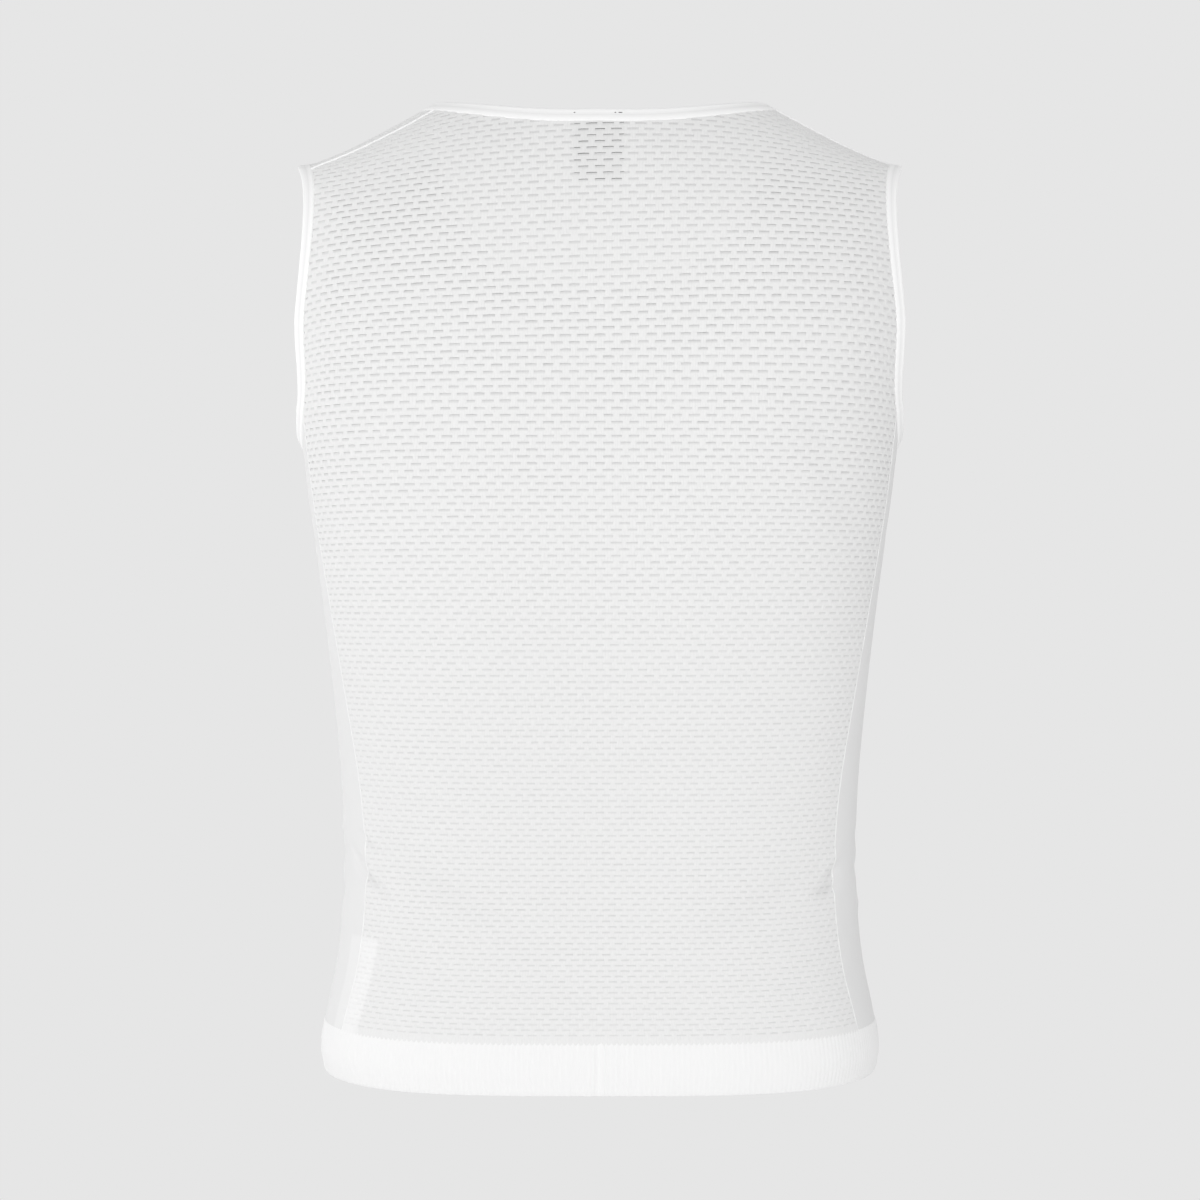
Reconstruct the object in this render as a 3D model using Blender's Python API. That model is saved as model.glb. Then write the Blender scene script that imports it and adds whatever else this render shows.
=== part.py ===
"""Sleeveless mesh-knit base layer, worn on a general figure with no wearer.

Units are metres, +Z is up, the wearer faces -Y and the wearer's left is +X. The origin is on the
middle plane, about level with the middles of the two shoulder seams, where shoulders carry it.
Cloth is a wall on one smooth torso form: level rings up to the underarm, and above them a dome
whose ridge is the shoulder line. Neck, armholes and hem are open.
"""

import math
from collections import namedtuple

import bmesh
import bpy
from mathutils import Vector

# Cloth and trims
MESH_WALL = 0.0012
PLAIN_WALL = 0.0012
HEM_WALL = 0.0016
BINDING_WALL = 0.0018
LABEL_WALL = 0.0010
SEAM_GAP = 0.0003
NECK_BINDING_WIDTH = 0.0085
ARM_BINDING_WIDTH = 0.0072
ARM_BINDING_FLARE = 0.37
FLARE_LOST_ON_TOP = 0.6
TRIM_PROUD = 0.0004
HEM_BAND_HEIGHT = 0.030

# Heights of the worn garment below the shoulder line
HEM_HEIGHT = -0.570
UNDERARM_HEIGHT = -0.172

# Sections of the torso form, from the hem up: half of the breadth, and how far the back and the
# front stand from the plane of the shoulder line
Section = namedtuple("Section", "height half_breadth back front")
SECTIONS = (
    Section(-0.570, 0.1680, 0.1090, 0.1095),
    Section(-0.556, 0.1702, 0.1098, 0.1105),
    Section(-0.540, 0.1682, 0.1080, 0.1095),
    Section(-0.500, 0.1604, 0.1005, 0.1060),
    Section(-0.455, 0.1570, 0.0945, 0.1030),
    Section(-0.400, 0.1580, 0.0935, 0.1040),
    Section(-0.340, 0.1634, 0.1000, 0.1090),
    Section(-0.280, 0.1705, 0.1095, 0.1160),
    Section(-0.225, 0.1780, 0.1165, 0.1190),
    Section(-0.172, 0.1842, 0.1185, 0.1180),
)
BREADTH_POWER = 3.6
BACK_POWER = 2.0
FRONT_POWER = 2.0

# The ridge of the dome, an even curve through three points. The crown is over the neck opening,
# where there is no cloth.
CROWN_HEIGHT = 0.0483
NECK_POINT = Vector((0.1025, 0.0160))
SHOULDER_TIP = Vector((0.1784, -0.0185))
BACK_ROLL_POWER = 2.4
FRONT_ROLL_POWER = 2.3
SHOULDER_SPREAD = 0.008
SHOULDER_SPREAD_RISE = 0.060

# The shoulder seam crosses the ridge at a slight skew, as it was worn
SEAM_SETBACK = 0.0028
SEAM_SKEW = 0.016

# The neck seam, in plan at the back and seen from the front in front, and the armhole seam in
# side view
NECK_HALF_WIDTH = 0.110
NECK_BACK = 0.088
NECK_SCOOP = 0.098
NECK_POWER = 2.38
ARMHOLE_MIDDLE_Y = -0.004
ARMHOLE_MIDDLE_Z = -0.100
ARMHOLE_BACK = 0.064
ARMHOLE_FRONT = 0.058
ARMHOLE_UP = 0.0822
ARMHOLE_DOWN = 0.093
ARMHOLE_POWER = 2.2

# The side seams in side view start on the armhole seam and spread to this far from the middle
SIDE_SEAM_HEM = 0.058
SIDE_SEAM_SPREAD_FROM = -0.200
SIDE_SEAM_SPREAD_TO = -0.520

# The largest folds, drawn in at the waist from the side seams: each runs over the back from one
# point to another, seen from behind
Fold = namedtuple("Fold", "start_x start_z end_x end_z width depth")
FOLDS = (
    Fold(0.148, -0.430, 0.121, -0.463, 0.009, 0.0020),
    Fold(-0.142, -0.450, -0.126, -0.459, 0.009, 0.0016),
)

# The labels inside, each given by its middle, width and length
NECK_LABEL_X = 0.0005
NECK_LABEL_WIDTH = 0.0290
NECK_LABEL_LENGTH = 0.0440
NECK_LABEL_TUCK = 0.0040
CARE_LABEL_TOP = -0.489
CARE_LABEL_BOTTOM = -0.548
CARE_LABEL_WIDTH = 0.030
LABEL_CLEARANCE = 0.0008

# Facets. The row of columns that ends at the neck's corner bows out over the strap, and the rows
# crowd towards the shoulder seam. The side panel's rows turn from level to the armhole's bottom
# mostly in its last few rows.
HALF_COLUMNS = 14
NECK_COLUMNS = 8
STRAP_BOW = 0.010
LOWER_ROWS = 15
UPPER_ROWS = 14
SHOULDER_CROWDING = 0.5
SIDE_COLUMNS = 6
SIDE_DROP_POWER = 4
HEM_ROWS = 2
LABEL_ROWS = 4
LABEL_COLUMNS = 4
SHARP_EDGE = math.radians(50)
ARC_SAMPLES = 160
BISECTION_STEPS = 40
NORMAL_STEP = 1e-5

# Material: colour, roughness
MESH_KNIT = ((0.86, 0.86, 0.85), 0.85)
PLAIN_KNIT = ((0.84, 0.84, 0.84), 0.75)
RIB_KNIT = ((0.93, 0.93, 0.93), 0.80)
BINDING = ((0.94, 0.94, 0.94), 0.60)
NECK_LABEL_CLOTH = ((0.03, 0.03, 0.03), 0.60)
CARE_LABEL_CLOTH = ((0.95, 0.95, 0.95), 0.45)


def section_at(height):
    """The section at a height, on a smooth curve through the rows of SECTIONS."""
    rows = SECTIONS
    height = min(max(height, rows[0].height), rows[-1].height)
    low = max(i for i in range(len(rows) - 1) if rows[i].height <= height)
    a, b = rows[low], rows[low + 1]
    step = b.height - a.height
    t = (height - a.height) / step

    def slope(index, name):
        before, after = rows[max(index - 1, 0)], rows[min(index + 1, len(rows) - 1)]
        return (getattr(after, name) - getattr(before, name)) / (after.height - before.height)

    def value(name):
        rise = getattr(b, name) - getattr(a, name)
        start, end = slope(low, name) * step, slope(low + 1, name) * step
        return (
            getattr(a, name)
            + start * t
            + (3 * rise - 2 * start - end) * t**2
            + (start + end - 2 * rise) * t**3
        )

    return Section(height, value("half_breadth"), value("back"), value("front"))


def ridge_at(x):
    """Height of the shoulder ridge: an even quartic through the crown, neck point and tip."""
    near, far = NECK_POINT.x**2, SHOULDER_TIP.x**2
    near_drop = (NECK_POINT.y - CROWN_HEIGHT) / near
    far_drop = (SHOULDER_TIP.y - CROWN_HEIGHT) / far
    quartic = (far_drop - near_drop) / (far - near)
    square = near_drop - quartic * near
    return CROWN_HEIGHT + square * x**2 + quartic * x**4


def superellipse(share, power, root):
    """The other coordinate, as a share, of a rounded outline."""
    return max(0.0, 1 - min(1.0, abs(share)) ** power) ** (1 / root)


def spread_at(height):
    """How much the dome widens above the underarm, where the armholes cut its sides away."""
    share = min(1.0, max(0.0, (height - UNDERARM_HEIGHT) / SHOULDER_SPREAD_RISE))
    return SHOULDER_SPREAD * share * share * (3 - 2 * share)


def base_depth(x, height, front):
    """How far the outline at a height stands from the plane of the shoulders, at x."""
    ring = section_at(height)
    depth, power = (ring.front, FRONT_POWER) if front else (ring.back, BACK_POWER)
    return depth * superellipse(x / (ring.half_breadth + spread_at(height)), BREADTH_POWER, power)


def roll_power(front):
    return FRONT_ROLL_POWER if front else BACK_ROLL_POWER


def climb_at(x, z):
    """How far up the dome a height is, from 0 at the underarm to 1 on the ridge."""
    return max(0.0, (z - UNDERARM_HEIGHT) / (ridge_at(x) - UNDERARM_HEIGHT))


def depth_at(x, z, front):
    """How far the form stands from the plane of the shoulders at (x, z), or 0 outside it."""
    if z <= UNDERARM_HEIGHT:
        return base_depth(x, z, front)
    power = roll_power(front)
    return base_depth(x, z, front) * superellipse(climb_at(x, z), power, power)


def breadth_at(y, z):
    """Half of the form's breadth at (y, z), by bisection."""
    inside, outside = 0.0, SECTIONS[-1].half_breadth + SHOULDER_SPREAD
    for _ in range(BISECTION_STEPS):
        middle = (inside + outside) / 2
        if depth_at(middle, z, y < 0) > abs(y):
            inside = middle
        else:
            outside = middle
    return (inside + outside) / 2


def top_at(x, y):
    """The dome's point over (x, y), by bisection."""
    low, high = UNDERARM_HEIGHT + SHOULDER_SPREAD_RISE, ridge_at(x)
    for _ in range(BISECTION_STEPS):
        middle = (low + high) / 2
        if depth_at(x, middle, y < 0) > abs(y):
            low = middle
        else:
            high = middle
    return Vector((x, y, (low + high) / 2))


def over_shoulder(x, turn):
    """The dome's point at x, for a turn from 0 at the back's ring to pi at the front's ring."""
    front = turn > math.pi / 2
    power = roll_power(front)
    climb = abs(math.sin(turn)) ** (2 / power)
    z = UNDERARM_HEIGHT + (ridge_at(x) - UNDERARM_HEIGHT) * climb
    depth = base_depth(x, z, front) * abs(math.cos(turn)) ** (2 / power)
    return Vector((x, -depth if front else depth, z))


def turn_of(point):
    """The turn of a point on the dome."""
    front = point.y < 0
    power = roll_power(front)
    up = climb_at(point.x, point.z) ** (power / 2)
    out = (abs(point.y) / base_depth(point.x, point.z, front)) ** (power / 2)
    turn = math.atan2(up, out)
    return math.pi - turn if front else turn


def outside_share(point, z_branch):
    """Below 0 inside the form, 0 on it and above 0 outside it."""
    x, y, z = point
    front = y < 0
    if z_branch <= UNDERARM_HEIGHT:
        ring = section_at(z)
        depth, power = (ring.front, FRONT_POWER) if front else (ring.back, BACK_POWER)
        return abs(x / ring.half_breadth) ** BREADTH_POWER + abs(y / depth) ** power - 1
    power = roll_power(front)
    return (abs(y) / base_depth(x, z, front)) ** power + climb_at(x, z) ** power - 1


def normal_at(point):
    """The form's outward normal at a point on it."""
    slopes = []
    for axis in range(3):
        step = Vector([NORMAL_STEP if i == axis else 0.0 for i in range(3)])
        ahead = outside_share(point + step, point.z)
        slopes.append(ahead - outside_share(point - step, point.z))
    return Vector(slopes).normalized()


def at_equal_steps(points, count):
    """Points at equal steps of length along a run of points, both ends included."""
    lengths = [0.0]
    for a, b in zip(points, points[1:]):
        lengths.append(lengths[-1] + (b - a).length)
    found, i = [], 0
    for k in range(count + 1):
        wanted = lengths[-1] * k / count
        while i < len(points) - 2 and lengths[i + 1] < wanted:
            i += 1
        share = (wanted - lengths[i]) / max(lengths[i + 1] - lengths[i], 1e-12)
        found.append(points[i].lerp(points[i + 1], min(1.0, share)))
    return found


def half_ring(height, front, side_x, count):
    """Points of a ring from the middle plane out to side_x, at +X, at equal steps."""
    ring = section_at(height)
    last = math.asin(min(1.0, (side_x / ring.half_breadth) ** (BREADTH_POWER / 2)))
    run = []
    for i in range(ARC_SAMPLES + 1):
        x = ring.half_breadth * math.sin(last * i / ARC_SAMPLES) ** (2 / BREADTH_POWER)
        depth = base_depth(x, height, front)
        run.append(Vector((x, -depth if front else depth, height)))
    return at_equal_steps(run, count)


def side_seam_y(height, front):
    """Where the side seam runs in side view, at a height."""
    start = armhole_side_view(underarm_angle(front))[0]
    end = -SIDE_SEAM_HEM if front else SIDE_SEAM_HEM
    share = (SIDE_SEAM_SPREAD_FROM - height) / (SIDE_SEAM_SPREAD_FROM - SIDE_SEAM_SPREAD_TO)
    share = min(1.0, max(0.0, share))
    return start + (end - start) * share * share * (3 - 2 * share)


def shoulder_seam_y(x):
    return SEAM_SETBACK + SEAM_SKEW * x


def back_neck_y(x):
    """How far back the neck seam runs, seen from above."""
    return NECK_BACK * superellipse(x / NECK_HALF_WIDTH, NECK_POWER, NECK_POWER)


def front_neck_point(x):
    """The front neck seam at x, a scoop seen from the front."""
    scoop = NECK_SCOOP * superellipse(x / NECK_HALF_WIDTH, NECK_POWER, NECK_POWER)
    z = ridge_at(NECK_HALF_WIDTH) - scoop
    return Vector((x, -depth_at(x, z, True), z))


def armhole_side_view(angle):
    """(y, z) of the armhole seam at an angle from +Y, in side view."""
    along, up = math.cos(angle), math.sin(angle)
    width = ARMHOLE_BACK if along > 0 else ARMHOLE_FRONT
    height = ARMHOLE_UP if up > 0 else ARMHOLE_DOWN
    y = ARMHOLE_MIDDLE_Y + math.copysign(width * abs(along) ** (2 / ARMHOLE_POWER), along)
    z = ARMHOLE_MIDDLE_Z + math.copysign(height * abs(up) ** (2 / ARMHOLE_POWER), up)
    return y, z


def armhole_point(angle, side):
    y, z = armhole_side_view(angle)
    return Vector((side * breadth_at(y, z), y, z))


def underarm_angle(front):
    """The armhole's angle at the height where the dome starts."""
    share = (ARMHOLE_MIDDLE_Z - UNDERARM_HEIGHT) / ARMHOLE_DOWN
    fall = math.asin(share ** (ARMHOLE_POWER / 2))
    return math.pi + fall if front else -fall


def shoulder_angle(side):
    """The armhole's angle where the shoulder seam meets it."""
    seam_y = shoulder_seam_y(side * SHOULDER_TIP.x)
    share = (seam_y - ARMHOLE_MIDDLE_Y) / ARMHOLE_BACK
    return math.acos(share ** (ARMHOLE_POWER / 2))


def neck_corner(side):
    """x of the point where the shoulder seam meets the neck seam, behind the ridge."""
    inside, outside = 0.0, NECK_HALF_WIDTH
    for _ in range(BISECTION_STEPS):
        middle = (inside + outside) / 2
        if back_neck_y(middle) > shoulder_seam_y(side * middle):
            inside = middle
        else:
            outside = middle
    return (inside + outside) / 2


def neck_run(side, front):
    """(x, turn) from the middle of the neck seam out to its corner, at equal steps."""
    corner = neck_corner(side)
    run = []
    for i in range(ARC_SAMPLES + 1):
        share = math.sin(math.pi / 2 * i / ARC_SAMPLES)
        if front:
            run.append(front_neck_point(NECK_HALF_WIDTH * share))
        else:
            run.append(top_at(corner * share, back_neck_y(corner * share)))
    if front:
        run.append(top_at(corner, back_neck_y(corner)))
    return [(p.x, turn_of(p)) for p in at_equal_steps(run, NECK_COLUMNS)]


def shoulder_run(side):
    """(x, turn) along the shoulder seam from the neck corner to the armhole."""
    start = neck_corner(side)
    tip = armhole_point(shoulder_angle(side), 1)
    count = HALF_COLUMNS - NECK_COLUMNS
    run = []
    for i in range(1, count):
        x = start + (tip.x - start) * i / count
        run.append((x, turn_of(top_at(x, shoulder_seam_y(side * x)))))
    return [*run, (tip.x, turn_of(tip))]


def armhole_run(side, front):
    """(x, turn) up the armhole from the underarm to the shoulder seam.

    The steps shorten towards the shoulder, where the form turns fastest.
    """
    start, end = underarm_angle(front), shoulder_angle(side)
    run = []
    for j in range(UPPER_ROWS + 1):
        up = j / UPPER_ROWS
        share = up * (1 + SHOULDER_CROWDING * (1 - up))
        p = armhole_point(start + (end - start) * share, 1)
        run.append((p.x, turn_of(p)))
    return run


def blended(bottom, top, start, end):
    """Rows of (x, turn) inside four edges, where start and end run up from bottom to top."""
    count = len(bottom) - 1
    steps = len(start) - 1
    rows = []
    for j in range(steps + 1):
        up = j / steps
        row = []
        for k in range(count + 1):
            out = k / count
            row.append(
                tuple(
                    (1 - up) * bottom[k][i]
                    + up * top[k][i]
                    + (1 - out) * start[j][i]
                    + out * end[j][i]
                    - (1 - up) * ((1 - out) * bottom[0][i] + out * bottom[-1][i])
                    - up * ((1 - out) * top[0][i] + out * top[-1][i])
                    for i in range(2)
                )
            )
        rows.append(row)
    return rows


def upper_half(side, front):
    """The dome part of a panel's half: rows of (x, turn) under the neck and under the shoulder."""
    level = math.pi if front else 0.0
    seam_x = breadth_at(side_seam_y(UNDERARM_HEIGHT, front), UNDERARM_HEIGHT)
    bottom = [(p.x, level) for p in half_ring(UNDERARM_HEIGHT, front, seam_x, HALF_COLUMNS)]
    neck, shoulder = neck_run(side, front), shoulder_run(side)
    middle, strap = [], []
    for j in range(UPPER_ROWS + 1):
        up = j / UPPER_ROWS
        middle.append((0.0, level + (neck[0][1] - level) * up))
        x = bottom[NECK_COLUMNS][0] * (1 - up) + neck[-1][0] * up + 4 * STRAP_BOW * up * (1 - up)
        strap.append((x, level + (neck[-1][1] - level) * up))
    under_neck = blended(bottom[: NECK_COLUMNS + 1], neck, middle, strap)
    under_shoulder = blended(
        bottom[NECK_COLUMNS:], [neck[-1], *shoulder], strap, armhole_run(side, front)
    )
    return [left[:-1] + right for left, right in zip(under_neck, under_shoulder)]


def mirrored(points):
    """The points on the other side of the middle plane, in the opposite order."""
    return [Vector((-p.x, p.y, p.z)) for p in reversed(points)]


def panel_row(height, front):
    """A level row of the front or back panel, counter-clockwise seen from above."""
    half = half_ring(height, front, breadth_at(side_seam_y(height, front), height), HALF_COLUMNS)
    run = mirrored(half[1:]) + half
    return run if front else run[::-1]


def side_row(height, side, drop=0.0):
    """A row of a side panel, counter-clockwise seen from above.

    At a drop of 1 it is the bottom of the armhole, and at 0 it is level.
    """
    back, front = underarm_angle(False), underarm_angle(True) - 2 * math.pi
    row = []
    for k in range(SIDE_COLUMNS + 1):
        across = k / SIDE_COLUMNS
        seam_y, seam_z = armhole_side_view(back + (front - back) * across)
        z = height + (seam_z - UNDERARM_HEIGHT) * drop
        level_y = side_seam_y(z, False) * (1 - across) + side_seam_y(z, True) * across
        y = level_y + (seam_y - level_y) * drop
        row.append(Vector((side * breadth_at(y, z), y, z)))
    return row[::-1] if side > 0 else row


def lower_heights():
    """The heights of the rows from the hem band up to the underarm."""
    bottom = HEM_HEIGHT + HEM_BAND_HEIGHT
    return [bottom + (UNDERARM_HEIGHT - bottom) * j / LOWER_ROWS for j in range(LOWER_ROWS + 1)]


def panel_rows(front):
    """The points of the front or back panel, row by row from the hem band up."""
    rows = [panel_row(height, front) for height in lower_heights()[:-1]]
    for row_left, row_right in zip(upper_half(1, front), upper_half(-1, front)):
        left = [over_shoulder(x, turn) for x, turn in row_left]
        right = [over_shoulder(x, turn) for x, turn in row_right[1:]]
        run = mirrored(right) + left
        rows.append(run if front else run[::-1])
    return rows


def side_rows(side):
    """The points of a side panel, row by row from the hem band up to the armhole."""
    heights = lower_heights()
    drops = [(j / LOWER_ROWS) ** SIDE_DROP_POWER for j in range(LOWER_ROWS + 1)]
    return [side_row(height, side, drop) for height, drop in zip(heights, drops)]


def hem_ring(height):
    """The points all round at a height, counter-clockwise seen from above, from the left side."""
    left, right = side_row(height, 1), side_row(height, -1)
    runs = (left, panel_row(height, False), right, panel_row(height, True))
    return [point for run in runs for point in run[:-1]]


def armhole_loop(side, back, front, side_panel):
    """The points round an armhole, on the edges of the three panels that it cuts.

    On the left they run up the back, over the shoulder and down the front.
    """
    back_edge = [row[0 if side > 0 else -1] for row in back[LOWER_ROWS:]]
    front_edge = [row[-1 if side > 0 else 0] for row in front[LOWER_ROWS:]]
    top = side_panel[-1] if side > 0 else side_panel[-1][::-1]
    loop = back_edge[:-1] + front_edge[:0:-1] + top[:-1]
    return loop if side > 0 else loop[::-1]


def neck_loop(back, front):
    """The points round the neck, counter-clockwise seen from above."""
    span = slice(HALF_COLUMNS - NECK_COLUMNS, HALF_COLUMNS + NECK_COLUMNS)
    return back[-1][span] + front[-1][span]


def drawn_in(rows):
    """The rows of a panel with each edge moved in by half a seam gap."""
    half = SEAM_GAP / 2

    def moved(point, toward):
        return point + (toward - point).normalized() * half

    rows = [[moved(row[0], row[1]), *row[1:-1], moved(row[-1], row[-2])] for row in rows]
    bottom = [moved(a, b) for a, b in zip(rows[0], rows[1])]
    top = [moved(a, b) for a, b in zip(rows[-1], rows[-2])]
    return [bottom, *rows[1:-1], top]


def binding_rows(seam, width, flare=0.0):
    """The outer and inner loops of a binding that runs on from a seam into its opening.

    Its flare is the angle by which it stands out from the form.
    """
    middle = sum(seam, Vector()) / len(seam)
    outer, inner = ([], []), ([], [])
    for k, point in enumerate(seam):
        along = (seam[(k + 1) % len(seam)] - seam[k - 1]).normalized()
        out = normal_at(point)
        across = out.cross(along).normalized()
        if across.dot(middle - point) < 0:
            across = -across
        lift = flare * (1 - FLARE_LOST_ON_TOP * max(0.0, out.z))
        across = across * math.cos(lift) + out * math.sin(lift)
        for loop, reach in enumerate((SEAM_GAP * 2 / 3, width)):
            place = point + out * TRIM_PROUD + across * reach
            outer[loop].append(place)
            inner[loop].append(place - out * BINDING_WALL)
    return outer, inner


def hem_rows():
    """The loops of the hem band, from its free edge up to its seam."""
    rows = []
    for j in range(HEM_ROWS + 1):
        height = HEM_HEIGHT + (HEM_BAND_HEIGHT - SEAM_GAP / 2) * j / HEM_ROWS
        rows.append([p + normal_at(p) * TRIM_PROUD for p in hem_ring(height)])
    return rows


def inside_of(point, depth):
    return point - normal_at(point) * depth


def below(start, run):
    """The point of the form at a length of run below a point of the back, at the same x."""
    point = start.copy()
    for _ in range(BISECTION_STEPS):
        out = normal_at(point)
        point += Vector((0.0, out.z, -out.y)).normalized() * run / BISECTION_STEPS
        point.y = depth_at(point.x, point.z, False)
    return point


def neck_label_rows():
    """The label that hangs inside the back, its top edge behind the neck binding."""
    rows = []
    for j in range(LABEL_ROWS + 1):
        run = NECK_LABEL_LENGTH * (1 - j / LABEL_ROWS) - NECK_LABEL_TUCK
        row = []
        for k in range(LABEL_COLUMNS + 1):
            x = NECK_LABEL_X + NECK_LABEL_WIDTH * (0.5 - k / LABEL_COLUMNS)
            face = below(top_at(x, back_neck_y(x)), run)
            row.append(inside_of(face, MESH_WALL + LABEL_CLEARANCE))
        rows.append(row)
    return rows


def care_label_rows():
    """The label inside the left side seam, half on the side panel and half on the back."""
    rows = []
    for j in range(LABEL_ROWS + 1):
        z = CARE_LABEL_BOTTOM + (CARE_LABEL_TOP - CARE_LABEL_BOTTOM) * j / LABEL_ROWS
        breadth = section_at(z).half_breadth
        ring = half_ring(z, False, breadth, ARC_SAMPLES)[::-1]
        seam = min(range(len(ring)), key=lambda i: abs(ring[i].y - side_seam_y(z, False)))
        half = CARE_LABEL_WIDTH / 2 / (ring[1] - ring[0]).length
        picks = [round(seam + half * (2 * k / LABEL_COLUMNS - 1)) for k in range(LABEL_COLUMNS + 1)]
        rows.append([inside_of(ring[i], HEM_WALL + LABEL_CLEARANCE) for i in picks])
    return rows


def fabric(name, look):
    """A Principled material for a cloth."""
    colour, roughness = look
    material = bpy.data.materials.new(name)
    material.use_nodes = True
    shader = material.node_tree.nodes["Principled BSDF"]
    shader.inputs["Base Color"].default_value = (*colour, 1.0)
    shader.inputs["Roughness"].default_value = roughness
    shader.inputs["Metallic"].default_value = 0.0
    return material


def creased(rows):
    """The rows with the folds pressed into them."""
    folds = [
        (
            Vector((fold.start_x, depth_at(fold.start_x, fold.start_z, False), fold.start_z)),
            Vector((fold.end_x, depth_at(fold.end_x, fold.end_z, False), fold.end_z)),
            fold,
        )
        for fold in FOLDS
    ]

    def pressed(point):
        depth = 0.0
        for start, end, fold in folds:
            run = end - start
            share = min(1.0, max(0.0, (point - start).dot(run) / run.length_squared))
            away = (point - start.lerp(end, share)).length / fold.width
            depth += fold.depth * math.exp(-away * away)
        return inside_of(point, depth)

    return [[pressed(point) for point in row] for row in rows]


def lined(rows, wall):
    """The inner points of a wall, along the form's own normals.

    So two pieces keep their gap at a seam right through the wall.
    """
    return [[inside_of(point, wall) for point in row] for row in rows]


def cloth_wall(name, outer, inner, material, collection, closed=False):
    """A wall between rows of outer points and as many inner ones, as one closed body.

    The rows run counter-clockwise seen from outside. A closed one is a ring, and its rows have
    no repeated point.
    """
    work = bmesh.new()
    across, up = len(outer[0]) - (0 if closed else 1), len(outer) - 1
    bmesh.ops.create_grid(work, x_segments=across, y_segments=up, size=1.0)
    column = work.verts.layers.int.new("column")
    row = work.verts.layers.int.new("row")
    for vert in work.verts:
        vert[column] = round((vert.co.x + 1) / 2 * across) % len(outer[0])
        vert[row] = round((vert.co.y + 1) / 2 * up)
        vert.co = outer[vert[row]][vert[column]]
    bmesh.ops.remove_doubles(work, verts=work.verts, dist=SEAM_GAP / 10)
    grown = bmesh.ops.extrude_face_region(work, geom=work.faces[:], use_keep_orig=True)["geom"]
    for vert in (item for item in grown if isinstance(item, bmesh.types.BMVert)):
        vert.co = inner[vert[row]][vert[column]]
    bmesh.ops.recalc_face_normals(work, faces=work.faces)
    mesh = bpy.data.meshes.new(name)
    work.to_mesh(mesh)
    work.free()
    mesh.shade_smooth()
    mesh.set_sharp_from_angle(angle=SHARP_EDGE)
    mesh.materials.append(material)
    collection.objects.link(bpy.data.objects.new(name, mesh))


def build():
    """Builds the garment, each cut or sewn piece as its own object."""
    for obj in list(bpy.data.objects):
        bpy.data.objects.remove(obj)
    garment = bpy.data.collections.new("sleeveless_base_layer")
    bpy.context.scene.collection.children.link(garment)

    mesh_knit = fabric("mesh_knit", MESH_KNIT)
    plain_knit = fabric("plain_knit", PLAIN_KNIT)
    rib_knit = fabric("rib_knit", RIB_KNIT)
    binding = fabric("binding", BINDING)
    neck_cloth = fabric("neck_label", NECK_LABEL_CLOTH)
    care_cloth = fabric("care_label", CARE_LABEL_CLOTH)

    def sheet(name, rows, wall, material, closed=False):
        cloth_wall(name, rows, lined(rows, wall), material, garment, closed)

    def bound_edge(name, *seam_width_flare):
        cloth_wall(name, *binding_rows(*seam_width_flare), binding, garment, closed=True)

    back, front = creased(panel_rows(False)), creased(panel_rows(True))
    sheet("back_panel", drawn_in(back), MESH_WALL, mesh_knit)
    sheet("front_panel", drawn_in(front), MESH_WALL, mesh_knit)
    for side, word in ((1, "left"), (-1, "right")):
        panel = creased(side_rows(side))
        sheet(f"side_panel_{word}", drawn_in(panel), PLAIN_WALL, plain_knit)
        armhole = armhole_loop(side, back, front, panel)
        bound_edge(f"armhole_binding_{word}", armhole, ARM_BINDING_WIDTH, ARM_BINDING_FLARE)
    bound_edge("neck_binding", neck_loop(back, front), NECK_BINDING_WIDTH)
    sheet("hem_band", hem_rows(), HEM_WALL, rib_knit, closed=True)
    sheet("neck_label", neck_label_rows(), LABEL_WALL, neck_cloth)
    sheet("care_label", care_label_rows(), LABEL_WALL, care_cloth)


build()
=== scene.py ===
"""Looks of the sleeveless mesh-knit base layer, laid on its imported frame.

Every piece of cloth lies on the torso form that the CAD model uses. The back and front are an
openwork mesh whose slots are cut as geometry, in a flat chart of the cloth that is then laid on
the form. The bindings, the ribbed hem, the seams and the stitching are geometry too.
"""

import logging
import math
from dataclasses import dataclass, field
from enum import Enum
from typing import Callable

import bmesh
import bpy
import numpy as np
from mathutils import Matrix, Vector


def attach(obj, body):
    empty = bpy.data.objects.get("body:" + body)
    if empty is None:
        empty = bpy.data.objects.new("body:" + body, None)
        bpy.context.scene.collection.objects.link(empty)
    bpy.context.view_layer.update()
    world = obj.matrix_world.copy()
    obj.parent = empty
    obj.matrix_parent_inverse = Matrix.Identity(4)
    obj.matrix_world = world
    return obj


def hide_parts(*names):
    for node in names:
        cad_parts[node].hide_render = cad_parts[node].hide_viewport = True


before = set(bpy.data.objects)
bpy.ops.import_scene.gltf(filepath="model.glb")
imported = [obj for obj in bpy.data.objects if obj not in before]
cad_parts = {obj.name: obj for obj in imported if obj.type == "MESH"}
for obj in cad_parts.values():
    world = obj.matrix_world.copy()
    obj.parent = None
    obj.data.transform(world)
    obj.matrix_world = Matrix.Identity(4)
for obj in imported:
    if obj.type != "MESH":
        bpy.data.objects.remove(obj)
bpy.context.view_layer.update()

Array = np.ndarray
Place = Callable[[Array, Array], tuple[Array, Array]]
Colour = tuple[float, float, float]

log = logging.getLogger("base_layer")

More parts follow.
